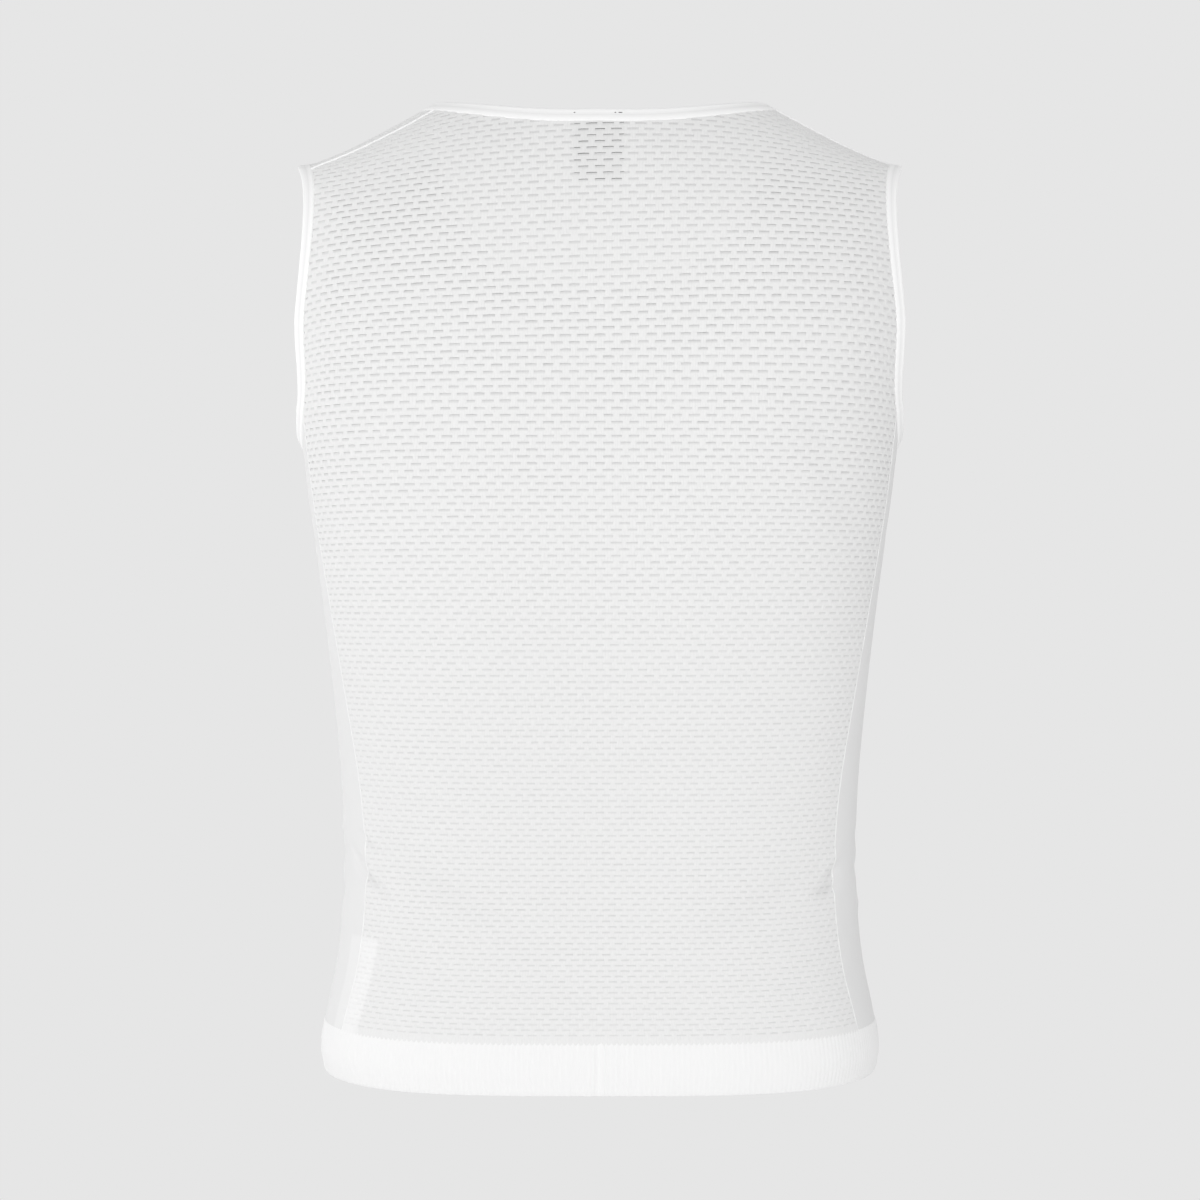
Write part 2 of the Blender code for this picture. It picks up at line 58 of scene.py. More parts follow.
# Sections of the torso form, from the hem up: height, half of the breadth, and how far the back
# and the front stand from the plane of the shoulders
SECTIONS = (
    (-0.570, 0.1680, 0.1090, 0.1095),
    (-0.556, 0.1702, 0.1098, 0.1105),
    (-0.540, 0.1682, 0.1080, 0.1095),
    (-0.500, 0.1604, 0.1005, 0.1060),
    (-0.455, 0.1570, 0.0945, 0.1030),
    (-0.400, 0.1580, 0.0935, 0.1040),
    (-0.340, 0.1634, 0.1000, 0.1090),
    (-0.280, 0.1705, 0.1095, 0.1160),
    (-0.225, 0.1780, 0.1165, 0.1190),
    (-0.172, 0.1842, 0.1185, 0.1180),
)
HEM_HEIGHT = -0.570
HEM_SEAM = -0.540
UNDERARM = -0.172
TINY = 1e-9
FAR = 1e9

# What a place in a table stops short of the table's end, so that an entry follows it
SHORT_OF_END = 1.0001

# Angles past which an edge is drawn sharp, in degrees
SHARP_CLOTH = 50.0
SHARP_SLOTS = 40.0
SHARP_TRIM = 80.0


def smoothstep(share: Array) -> Array:
    """An even rise from 0 to 1, flat at both ends."""
    held = np.clip(share, 0.0, 1.0)
    return held * held * (3 - 2 * held)


def rounded(share: Array, power: float, root: float) -> Array:
    """The other coordinate, as a share, of a rounded outline."""
    return np.maximum(0.0, 1 - np.minimum(1.0, np.abs(share)) ** power) ** (1 / root)


def arc_lengths(points: Array) -> Array:
    """Length run along a line of points, from 0 at its first."""
    steps = np.linalg.norm(np.diff(points, axis=0), axis=1)
    return np.concatenate([[0.0], np.cumsum(steps)])


def read_along(where: Array, run: Array, rows: Array) -> Array:
    """Rows at some lengths along a line, read between the line's own rows.

    Args:
        where: The lengths to read at.
        run: The length run at each row.
        rows: Three numbers for each length run, such as a point.

    Returns:
        One row a length.
    """
    return np.stack([np.interp(where, run, rows[:, axis]) for axis in range(3)], axis=-1)


def closed(rows: Array) -> Array:
    """The rows of a loop with its first one again at the end."""
    return np.concatenate([rows, rows[:1]])


def unit(rows: Array) -> Array:
    """Directions of length 1, one a row."""
    return rows / np.linalg.norm(rows, axis=1, keepdims=True)


def edge_mask(inside: Array, reach: float) -> Array:
    """From 0 outside an edge to 1 inside it, faded over the reach about the edge."""
    return smoothstep(0.5 + inside / reach)


def at_equal_steps(points: Array, count: int) -> Array:
    """Points at equal steps along a line of points.

    Args:
        points: The line, one row a point.
        count: How many steps.

    Returns:
        One row more than count, both ends included.
    """
    run = arc_lengths(points)
    return read_along(np.linspace(0.0, run[-1], count + 1), run, points)


@dataclass(frozen=True)
class TorsoForm:
    """The worn form: level rings up to the underarm, and a dome above them.

    It repeats the CAD model's form, so that each piece lies where its solid does.
    """

    breadth_power: float = 3.6
    depth_power: float = 2.0
    crown: float = 0.0483
    neck_point: tuple[float, float] = (0.1025, 0.0160)
    shoulder_tip: tuple[float, float] = (0.1784, -0.0185)
    back_roll: float = 2.4
    front_roll: float = 2.3
    spread: float = 0.008
    spread_rise: float = 0.060
    seam_setback: float = 0.0028
    seam_skew: float = 0.016
    neck_half_width: float = 0.110
    neck_back: float = 0.088
    neck_scoop: float = 0.098
    neck_power: float = 2.38
    armhole_middle: tuple[float, float] = (-0.004, -0.100)
    armhole_back: float = 0.064
    armhole_front: float = 0.058
    armhole_up: float = 0.0822
    armhole_down: float = 0.093
    armhole_power: float = 2.2
    side_seam_hem: float = 0.058
    side_seam_from: float = -0.200
    side_seam_to: float = -0.520
    bisections: int = 44
    normal_step: float = 1e-5
    least_depth: float = 1e-4
    armhole_steps: int = 1200

    def section(self, height: Array) -> tuple[Array, Array, Array]:
        """Half of the breadth, the back's depth and the front's depth at some heights.

        Args:
            height: Heights, in metres.

        Returns:
            Three lengths for each height.
        """
        rows = np.array(SECTIONS)
        held = np.clip(height, rows[0, 0], rows[-1, 0])
        low = np.clip(np.searchsorted(rows[:, 0], held, side="right") - 1, 0, len(rows) - 2)
        index = np.arange(len(rows))
        before = rows[np.maximum(index - 1, 0)]
        after = rows[np.minimum(index + 1, len(rows) - 1)]
        slopes = (after[:, 1:] - before[:, 1:]) / (after[:, :1] - before[:, :1])
        step = (rows[low + 1, 0] - rows[low, 0])[..., None]
        share = (held - rows[low, 0])[..., None] / step
        rise = rows[low + 1, 1:] - rows[low, 1:]
        start = slopes[low] * step
        end = slopes[low + 1] * step
        cubic = (start + end - 2 * rise) * share**3
        square = (3 * rise - 2 * start - end) * share**2
        found = rows[low, 1:] + start * share + square + cubic
        return found[..., 0], found[..., 1], found[..., 2]

    def ridge(self, x: Array) -> Array:
        """Height of the shoulder ridge.

        Args:
            x: How far left of the middle.

        Returns:
            One height for each x.
        """
        near = self.neck_point[0] ** 2
        far = self.shoulder_tip[0] ** 2
        near_drop = (self.neck_point[1] - self.crown) / near
        far_drop = (self.shoulder_tip[1] - self.crown) / far
        quartic = (far_drop - near_drop) / (far - near)
        square = near_drop - quartic * near
        return self.crown + square * x**2 + quartic * x**4

    def base_depth(self, x: Array, height: Array, front: Array) -> Array:
        """How far the outline at a height stands from the plane of the shoulders, at x.

        Args:
            x: How far left of the middle.
            height: Heights, in metres.
            front: Whether each point is on the front.

        Returns:
            One depth a point.
        """
        half_breadth, back, ahead = self.section(height)
        widened = half_breadth + self.spread * smoothstep((height - UNDERARM) / self.spread_rise)
        depth = np.where(front, ahead, back)
        return depth * rounded(x / widened, self.breadth_power, self.depth_power)

    def roll(self, front: Array) -> Array:
        """The power of the dome's roll over the shoulder."""
        return np.where(front, self.front_roll, self.back_roll)

    def climb(self, x: Array, height: Array) -> Array:
        """How far up the dome a height is, from 0 at the underarm to 1 on the ridge."""
        return np.maximum(0.0, (height - UNDERARM) / (self.ridge(x) - UNDERARM))

    def depth(self, x: Array, height: Array, front: Array) -> Array:
        """How far the form stands from the plane of the shoulders at (x, height).

        Args:
            x: How far left of the middle.
            height: Heights, in metres.
            front: Whether each point is on the front.

        Returns:
            One depth a point.
        """
        power = self.roll(front)
        share = np.minimum(1.0, self.climb(x, height))
        rolled = np.maximum(0.0, 1 - share**power) ** (1 / power)
        return self.base_depth(x, height, front) * np.where(height > UNDERARM, rolled, 1.0)

    def breadth(self, y: Array, height: Array) -> Array:
        """Half of the form's breadth at (y, height), by bisection.

        Args:
            y: How far behind the plane of the shoulders.
            height: Heights, in metres.

        Returns:
            One x a point.
        """
        inside = np.zeros_like(y, dtype=float)
        outside = np.full_like(inside, SECTIONS[-1][1] + self.spread)
        for _ in range(self.bisections):
            middle = (inside + outside) / 2
            within = self.depth(middle, height, y < 0) > np.abs(y)
            inside = np.where(within, middle, inside)
            outside = np.where(within, outside, middle)
        return (inside + outside) / 2

    def over(self, x: Array, y: Array) -> Array:
        """The dome's points over some (x, y), by bisection.

        Args:
            x: How far left of the middle.
            y: How far behind the plane of the shoulders.

        Returns:
            One row a point.
        """
        low = np.full_like(x, UNDERARM + self.spread_rise, dtype=float)
        high = self.ridge(x)
        for _ in range(self.bisections):
            middle = (low + high) / 2
            within = self.depth(x, middle, y < 0) > np.abs(y)
            low = np.where(within, middle, low)
            high = np.where(within, high, middle)
        return np.stack([x, y, (low + high) / 2], axis=-1)

    def over_shoulder(self, x: Array, turn: Array) -> Array:
        """The dome's points at x, for a turn from 0 at the back's ring to pi at the front's.

        Args:
            x: How far left of the middle.
            turn: From 0 at the back's ring to pi at the front's.

        Returns:
            One row a point.
        """
        front = turn > math.pi / 2
        power = self.roll(front)
        height = UNDERARM + (self.ridge(x) - UNDERARM) * np.abs(np.sin(turn)) ** (2 / power)
        depth = self.base_depth(x, height, front) * np.abs(np.cos(turn)) ** (2 / power)
        return np.stack([x, np.where(front, -depth, depth), height], axis=-1)

    def turn_of(self, points: Array) -> Array:
        """The turn of some points of the dome.

        Args:
            points: One row a point.

        Returns:
            One angle a point.
        """
        x, y, height = points[..., 0], points[..., 1], points[..., 2]
        front = y < 0
        power = self.roll(front)
        out = np.abs(y) / np.maximum(self.base_depth(x, height, front), TINY)
        turn = np.arctan2(self.climb(x, height) ** (power / 2), out ** (power / 2))
        return np.where(front, math.pi - turn, turn)

    def outside_share(self, points: Array, dome: Array) -> Array:
        """Below 0 inside the form, 0 on it and above 0 outside it.

        Args:
            points: One row a point.
            dome: Which points are on the dome.

        Returns:
            One number a point.
        """
        x, y, height = points[..., 0], points[..., 1], points[..., 2]
        front = y < 0
        half_breadth, back, ahead = self.section(height)
        depth = np.where(front, ahead, back)
        across = np.abs(x / half_breadth) ** self.breadth_power
        level = across + np.abs(y / depth) ** self.depth_power
        power = self.roll(front)
        base = np.maximum(self.base_depth(x, height, front), self.least_depth)
        domed = (np.abs(y) / base) ** power + self.climb(x, height) ** power
        return np.where(dome, domed, level) - 1

    def normals(self, points: Array) -> Array:
        """The form's outward normals at some points on it.

        Args:
            points: One row a point.

        Returns:
            One direction a point.
        """
        dome = points[..., 2] > UNDERARM
        slopes = []
        for axis in range(3):
            step = np.zeros(3)
            step[axis] = self.normal_step
            ahead = self.outside_share(points + step, dome)
            slopes.append(ahead - self.outside_share(points - step, dome))
        found = np.stack(slopes, axis=-1)
        return found / np.maximum(np.linalg.norm(found, axis=-1, keepdims=True), TINY)

    def on_panel(self, x: Array, height: Array, front: bool) -> Array:
        """Points of the back or front at (x, height)."""
        depth = self.depth(x, height, np.full_like(x, front, dtype=bool))
        return np.stack([x, -depth if front else depth, height], axis=-1)

    def on_side(self, y: Array, height: Array, side: int) -> Array:
        """Points of the form's left or right side at (y, height)."""
        return np.stack([side * self.breadth(y, height), y, height], axis=-1)

    def armhole_side_view(self, angle: Array) -> tuple[Array, Array]:
        """(y, z) of the armhole seam at angles from +Y, in side view.

        Args:
            angle: Angles, in radians.

        Returns:
            y and z for each angle.
        """
        along = np.cos(angle)
        up = np.sin(angle)
        width = np.where(along > 0, self.armhole_back, self.armhole_front)
        rise = np.where(up > 0, self.armhole_up, self.armhole_down)
        power = 2 / self.armhole_power
        y = self.armhole_middle[0] + np.sign(along) * width * np.abs(along) ** power
        z = self.armhole_middle[1] + np.sign(up) * rise * np.abs(up) ** power
        return y, z

    def underarm_angle(self, front: bool) -> float:
        """The armhole's angle at the height where the dome starts.

        Args:
            front: Whether it is on the front.

        Returns:
            The angle, in radians.
        """
        share = (self.armhole_middle[1] - UNDERARM) / self.armhole_down
        fall = math.asin(share ** (self.armhole_power / 2))
        return math.pi + fall if front else -fall

    def shoulder_seam_y(self, x: Array) -> Array:
        """How far behind the shoulder plane the shoulder seam runs."""
        return self.seam_setback + self.seam_skew * x

    def shoulder_angle(self, side: int) -> float:
        """The armhole's angle where the shoulder seam meets it.

        Args:
            side: 1 for the left and -1 for the right.

        Returns:
            The angle, in radians.
        """
        seam_y = self.shoulder_seam_y(side * self.shoulder_tip[0])
        share = (seam_y - self.armhole_middle[0]) / self.armhole_back
        return math.acos(share ** (self.armhole_power / 2))

    def side_seam_y(self, height: Array, front: bool) -> Array:
        """Where a side seam runs in side view.

        Args:
            height: Heights, in metres.
            front: Whether it is on the front.

        Returns:
            One y for each height.
        """
        start = float(self.armhole_side_view(np.array(self.underarm_angle(front)))[0])
        end = -self.side_seam_hem if front else self.side_seam_hem
        share = (self.side_seam_from - height) / (self.side_seam_from - self.side_seam_to)
        return start + (end - start) * smoothstep(share)

    def back_neck_y(self, x: Array) -> Array:
        """How far back the neck seam runs, seen from above."""
        return self.neck_back * rounded(x / self.neck_half_width, self.neck_power, self.neck_power)

    def neck_corner(self, side: int) -> float:
        """x of the point where the shoulder seam meets the neck seam.

        Args:
            side: 1 for the left and -1 for the right.

        Returns:
            The point's x.
        """
        inside, outside = 0.0, self.neck_half_width
        for _ in range(self.bisections):
            middle = (inside + outside) / 2
            if self.back_neck_y(middle) > self.shoulder_seam_y(side * middle):
                inside = middle
            else:
                outside = middle
        return (inside + outside) / 2

    def neck_run(self, side: int, front: bool, count: int = 160) -> Array:
        """Points of the neck seam from its middle out to its corner.

        Args:
            side: 1 for the left and -1 for the right.
            front: Whether it is the front's half.
            count: How many steps it is drawn in.

        Returns:
            One row a point.
        """
        share = np.sin(np.linspace(0.0, math.pi / 2, count + 1))
        corner = np.array([self.neck_corner(side)])
        top = self.over(side * corner, self.back_neck_y(corner))
        if not front:
            x = corner * share
            return self.over(side * x, self.back_neck_y(x))
        x = self.neck_half_width * share
        scoop = self.neck_scoop * rounded(share, self.neck_power, self.neck_power)
        height = self.ridge(np.array(self.neck_half_width)) - scoop
        return np.concatenate([self.on_panel(side * x, height, True), top])

    def neck_seam(self, count: int) -> Array:
        """The whole neck seam, from the front's middle round by the left, as a closed run.

        Args:
            count: How many steps.

        Returns:
            One row a point, the first one again at the end.
        """
        parts = (
            self.neck_run(1, True)[:-1],
            self.neck_run(1, False)[:0:-1],
            self.neck_run(-1, False)[:-1],
            self.neck_run(-1, True)[::-1],
        )
        return at_equal_steps(np.concatenate(parts), count)

    def armhole_seam(self, side: int, start: float, end: float, count: int) -> Array:
        """Points of an armhole seam from one angle to another."""
        y, z = self.armhole_side_view(np.linspace(start, end, self.armhole_steps))
        return at_equal_steps(self.on_side(y, z, side), count)

    def shoulder_seam(self, side: int, count: int) -> Array:
        """Points of a shoulder seam from the neck out to the armhole.

        Args:
            side: 1 for the left and -1 for the right.
            count: How many steps.

        Returns:
            One row a point.
        """
        tip_y, tip_z = self.armhole_side_view(np.array(self.shoulder_angle(side)))
        x = np.linspace(self.neck_corner(side), float(self.breadth(tip_y, tip_z)), count + 1)
        return self.over(side * x, self.shoulder_seam_y(side * x))

    def side_seam(self, side: int, front: bool, count: int) -> Array:
        """Points of a side seam from the hem band up to the underarm."""
        height = np.linspace(HEM_SEAM, UNDERARM, count + 1)
        return self.on_side(self.side_seam_y(height, front), height, side)

    def ring(self, angle: Array, height: Array) -> Array:
        """Points of a level ring at angles from the left side, below the underarm.

        Args:
            angle: Angles, in radians.
            height: Heights, in metres.

        Returns:
            One row a point.
        """
        half_breadth, back, ahead = self.section(height)
        across = np.cos(angle)
        out = np.sin(angle)
        x = half_breadth * np.sign(across) * np.abs(across) ** (2 / self.breadth_power)
        return np.stack([x, np.where(out > 0, back, ahead) * out, height], axis=-1)


class Face(Enum):
    """Which face of the garment a crease is drawn on."""

    BACK = "back"
    FRONT = "front"
    LEFT = "left"
    RIGHT = "right"


@dataclass(frozen=True)
class Crease:
    """A soft trough along a line on the form, or a ridge where its depth is below 0."""

    face: Face
    line: tuple[tuple[float, float], ...]
    width: float
    depth: float


CREASES = (
    Crease(Face.BACK, ((0.1439, -0.4229), (0.1384, -0.4282), (0.1325, -0.4341)), 0.0030, 0.0012),
    Crease(
        Face.BACK,
        ((0.1490, -0.4334), (0.1432, -0.4413), (0.1370, -0.4499), (0.1204, -0.4623)),
        0.0034,
        0.0026,
    ),
    Crease(Face.BACK, ((0.1404, -0.4444), (0.1298, -0.4556), (0.1160, -0.4637)), 0.0032, -0.0011),
    Crease(Face.BACK, ((-0.1425, -0.4430), (-0.1384, -0.4471), (-0.1337, -0.4513)), 0.0032, 0.0018),
    Crease(Face.BACK, ((-0.1417, -0.4535), (-0.1344, -0.4566), (-0.1273, -0.4582)), 0.0033, 0.0021),
    Crease(Face.BACK, ((-0.1453, -0.4321), (-0.1391, -0.4377), (-0.1325, -0.4423)), 0.0032, -0.0010),
    Crease(Face.BACK, ((0.0600, -0.4750), (0.0900, -0.4550), (0.1250, -0.4300)), 0.0120, 0.0007),
    Crease(Face.BACK, ((-0.0500, -0.4800), (-0.0900, -0.4620), (-0.1200, -0.4400)), 0.0110, 0.0006),
    Crease(Face.BACK, ((0.1000, -0.2000), (0.1200, -0.2500), (0.1400, -0.3000)), 0.0120, -0.0008),
    Crease(Face.BACK, ((-0.1100, -0.1600), (-0.1300, -0.2100), (-0.1500, -0.2600)), 0.0110, 0.0006),
    Crease(Face.LEFT, ((-0.0300, -0.4480), (-0.0050, -0.4420), (0.0280, -0.4360)), 0.0050, 0.0013),
    Crease(Face.LEFT, ((-0.0330, -0.4300), (0.0000, -0.4240), (0.0300, -0.4200)), 0.0042, -0.0009),
    Crease(Face.LEFT, ((-0.0200, -0.4700), (0.0100, -0.4620), (0.0330, -0.4520)), 0.0052, 0.0010),
    Crease(Face.LEFT, ((-0.0150, -0.2200), (0.0000, -0.2400), (0.0200, -0.2500)), 0.0060, 0.0007),
    Crease(Face.RIGHT, ((-0.0280, -0.4560), (-0.0030, -0.4500), (0.0310, -0.4440)), 0.0046, 0.0012),
    Crease(Face.RIGHT, ((-0.0320, -0.4380), (-0.0080, -0.4310), (0.0240, -0.4260)), 0.0050, 0.0009),
    Crease(Face.RIGHT, ((-0.0160, -0.4760), (0.0120, -0.4690), (0.0290, -0.4620)), 0.0045, -0.0008),
    Crease(Face.RIGHT, ((-0.0080, -0.2150), (0.0080, -0.2350), (0.0190, -0.2520)), 0.0056, 0.0008),
    Crease(Face.FRONT, ((0.1490, -0.4370), (0.1380, -0.4490), (0.1180, -0.4610)), 0.0036, 0.0022),
    Crease(Face.FRONT, ((0.1450, -0.4250), (0.1340, -0.4330), (0.1220, -0.4380)), 0.0033, 0.0012),
    Crease(Face.FRONT, ((-0.1470, -0.4400), (-0.1350, -0.4520), (-0.1120, -0.4590)), 0.0038, 0.0024),
    Crease(Face.FRONT, ((-0.1460, -0.4270), (-0.1360, -0.4340), (-0.1260, -0.4370)), 0.0032, 0.0011),
    Crease(Face.FRONT, ((0.0500, -0.4700), (0.0900, -0.4520), (0.1200, -0.4300)), 0.0120, 0.0008),
    Crease(Face.FRONT, ((-0.0400, -0.4760), (-0.0850, -0.4600), (-0.1150, -0.4360)), 0.0115, 0.0007),
    Crease(Face.FRONT, ((0.0900, -0.1900), (0.1150, -0.2400), (0.1300, -0.2900)), 0.0120, 0.0007),
    Crease(Face.FRONT, ((-0.1000, -0.1800), (-0.1200, -0.2350), (-0.1400, -0.2800)), 0.0110, -0.0008),
    Crease(Face.FRONT, ((0.0500, -0.1180), (0.0700, -0.1350), (0.1000, -0.1500)), 0.0095, 0.0008),
    Crease(Face.FRONT, ((-0.0450, -0.1200), (-0.0750, -0.1380), (-0.1000, -0.1520)), 0.0100, 0.0007),
)


@dataclass
class Creases:
    """The listed creases, pressed into every piece that they cross.

    A crease reaches so many of its widths to each side, and fades towards both of its ends.
    """

    form: TorsoForm
    creases: tuple[Crease, ...]
    reach: float = 3.0
    faded_end: float = 0.08
    fade_power: float = 0.8

    def __post_init__(self) -> None:
        """Lays each crease's line on the form."""
        self.lines = [(self.laid(crease), crease) for crease in self.creases]

    def laid(self, crease: Crease) -> Array:
        """The points of a crease's line on the form.

        Args:
            crease: The crease.

        Returns:
            One row a point.
        """
        across, height = np.array(crease.line).T
        if crease.face in (Face.BACK, Face.FRONT):
            return self.form.on_panel(across, height, crease.face is Face.FRONT)
        return self.form.on_side(across, height, 1 if crease.face is Face.LEFT else -1)

    def depth(self, points: Array) -> Array:
        """How deep the creases press some points in.

        Args:
            points: Points on the form.

        Returns:
            One depth a point, in metres.
        """
        total = np.zeros(len(points))
        for line, crease in self.lines:
            reach = self.reach * crease.width
            low = line.min(axis=0) - reach
            high = line.max(axis=0) + reach
            near = np.flatnonzero(((points > low) & (points < high)).all(axis=1))
            if not len(near):
                continue
            run = arc_lengths(line)
            nearest = np.full(len(near), FAR)
            along = np.zeros(len(near))
            for start, end, before in zip(line, line[1:], run):
                step = end - start
                share = np.clip((points[near] - start) @ step / (step @ step), 0.0, 1.0)
                away = np.linalg.norm(points[near] - start - share[:, None] * step, axis=1)
                closer = away < nearest
                nearest = np.where(closer, away, nearest)
                length = np.linalg.norm(step)
                along = np.where(closer, (before + share * length) / run[-1], along)
            along = self.faded_end + (1 - 2 * self.faded_end) * along
            fade = np.sin(math.pi * along) ** self.fade_power
            total[near] += crease.depth * fade * np.exp(-((nearest / crease.width) ** 2))
        return total


@dataclass
class Chart:
    """A flat chart of the back or front cloth, and how it lies on the form.

    Across the chart a column of slots is column_unit wide, and a row is 1 high. The count of
    columns between the side seams is the same at every height up to the underarm. Above it, the
    columns open out towards the shoulders.
    """

    form: TorsoForm
    front: bool
    columns: float = 43.0
    column_unit: float = 1.52
    upper_pitch: float = 0.0042
    skew: float = 0.03
    skew_rows: float = 18.0
    fan_rows: float = 46.0
    fan_pitch: float = 0.975
    below_seam: float = 0.006
    cut_below_seam: float = 0.35
    height_steps: int = 700
    ring_steps: int = 90
    share_steps: int = 400
    angle_steps: int = 3000
    wale_steps: int = 900
    dome_steps: int = 120
    widest_share: float = 1.12
    ridge_reach: float = 0.20
    dome_reach: float = 0.186
    longest_wale: float = 0.42
    settling: int = 8
    pitches: tuple[tuple[float, float], ...] = (
        (-0.545, 0.00290),
        (-0.494, 0.00310),
        (-0.448, 0.00330),
        (-0.391, 0.00339),
        (-0.333, 0.00357),
        (-0.276, 0.00367),
        (-0.2185, 0.00380),
        (-0.172, 0.00405),
    )

    def __post_init__(self) -> None:
        """Tabulates the lengths along the rings and over the shoulders."""
        self.heights = np.linspace(HEM_SEAM - self.below_seam, UNDERARM, self.height_steps)
        pitch = np.interp(self.heights, *np.array(self.pitches).T)
        counted = np.concatenate([[0.0], np.cumsum(np.diff(self.heights) / pitch[:-1])])
        self.counted = counted - np.interp(HEM_SEAM, self.heights, counted)
        self.underarm_row = float(self.counted[-1])
        self.shares = np.linspace(0.0, self.widest_share, self.share_steps)
        self.ring_heights = np.linspace(self.heights[0], UNDERARM, self.ring_steps)
        self.ring_x = np.array([self.ring_row(height) for height in self.ring_heights])
        x = np.linspace(0.0, self.ridge_reach, self.share_steps)
        ridge = arc_lengths(np.stack([x, 0 * x, self.form.ridge(x)], axis=1))
        self.ridge_x = np.interp(self.shares * self.seam_arc * self.fan_pitch, ridge, x)
        self.dome_x = np.linspace(0.0, self.dome_reach, self.dome_steps)
        self.turns = np.linspace(0.0, math.pi, self.wale_steps)
        self.arcs = np.linspace(0.0, self.longest_wale, self.wale_steps)
        self.dome_arcs = np.array([self.wale_arcs(x) for x in self.dome_x])
        self.dome_turns = np.array([np.interp(self.arcs, row, self.turns) for row in self.dome_arcs])

    def ring_row(self, height: float) -> Array:
        """x at each share of the way from the middle to the side seam, on a level ring.

        Args:
            height: The ring's height, in metres.

        Returns:
            One x for each share.
        """
        half_breadth, back, ahead = (float(part) for part in self.form.section(np.array(height)))
        depth = ahead if self.front else back
        angle = np.linspace(0.0, math.pi / 2, self.angle_steps)
        x = half_breadth * np.sin(angle) ** (2 / self.form.breadth_power)
        run = arc_lengths(np.stack([x, depth * np.cos(angle), 0 * x], axis=1))
        seam_y = float(self.form.side_seam_y(np.array(height), self.front))
        seam = math.acos(abs(seam_y) / depth)
        self.seam_arc = float(np.interp(seam, angle, run))
        return np.interp(self.shares * self.seam_arc, run, x)

    def wale_arcs(self, x: float) -> Array:
        """Length run over the shoulder at x, at each turn from this panel's own ring."""
        turn = math.pi - self.turns if self.front else self.turns
        return arc_lengths(self.form.over_shoulder(np.full_like(turn, x), turn))

    def fan(self, row: Array) -> Array:
        """How far the columns have opened out, from 0 at the underarm to 1 at the shoulder."""
        return smoothstep((row - self.underarm_row) / self.fan_rows)

    def skewed(self, x: Array, row: Array) -> Array:
        """How far the rows rise towards the right, over the upper part of the back.

        Args:
            x: How far left of the middle.
            row: Each point's row in the chart.

        Returns:
            One length a point.
        """
        if self.front:
            return np.zeros_like(x)
        return -self.skew * x * smoothstep((row - self.underarm_row) / self.skew_rows)

    @staticmethod
    def looked_up(table: Array, rows: Array, columns: Array, row: Array, column: Array) -> Array:
        """Values between the entries of a table with even steps.

        Args:
            table: One number for each row and column.
            rows: The value of each row.
            columns: The value of each column.
            row: The row at which to read.
            column: The column at which to read.

        Returns:
            One number for each row and column that is read.
        """
        i = np.clip((row - rows[0]) / (rows[1] - rows[0]), 0, len(rows) - SHORT_OF_END)
        j = np.clip((column - columns[0]) / (columns[1] - columns[0]), 0, len(columns) - SHORT_OF_END)
        low_i, low_j = i.astype(int), j.astype(int)
        di, dj = i - low_i, j - low_j
        near = table[low_i, low_j] * (1 - dj) + table[low_i, low_j + 1] * dj
        far = table[low_i + 1, low_j] * (1 - dj) + table[low_i + 1, low_j + 1] * dj
        return near * (1 - di) + far * di

    def placed(self, flat: Array) -> Array:
        """Where points of the chart lie on the form.

        Args:
            flat: One row a point, across and up the chart.

        Returns:
            One row a point, in metres.
        """
        share = flat[:, 0] / (self.columns / 2 * self.column_unit)
        row = flat[:, 1]
        height = np.interp(row, self.counted, self.heights)
        away = np.abs(share)
        level_x = self.looked_up(self.ring_x, self.ring_heights, self.shares, height, away)
        ridge_x = np.interp(away, self.shares, self.ridge_x)
        opened = self.fan(row)
        x = level_x * (1 - opened) + ridge_x * opened
        arc = (row - self.underarm_row) * self.upper_pitch + self.skewed(np.sign(share) * x, row)
        turn = self.looked_up(self.dome_turns, self.dome_x, self.arcs, x, arc)
        turn = math.pi - turn if self.front else turn
        side = np.where(share < 0, -1.0, 1.0)
        level = self.form.on_panel(side * x, height, self.front)
        domed = self.form.over_shoulder(side * x, turn)
        return np.where((row > self.underarm_row)[:, None], domed, level)

    def charted(self, points: Array) -> Array:
        """Where points of the dome lie in the chart.

        Args:
            points: One row a point, on the form above the underarm.

        Returns:
            One row a point, across and up the chart.
        """
        x = np.abs(points[:, 0])
        turn = self.form.turn_of(points)
        turn = math.pi - turn if self.front else turn
        arc = self.looked_up(self.dome_arcs, self.dome_x, self.turns, x, turn)
        row = self.underarm_row + arc / self.upper_pitch
        for _ in range(self.settling):
            rise = self.skewed(points[:, 0], row)
            row = self.underarm_row + (arc - rise) / self.upper_pitch
        opened = self.fan(row)[:, None]
        spread = self.ring_x[-1] * (1 - opened) + self.ridge_x * opened
        share = np.array([np.interp(a, line, self.shares) for a, line in zip(x, spread)])
        across = np.sign(points[:, 0]) * share * self.columns / 2 * self.column_unit
        return np.stack([across, row], axis=1)

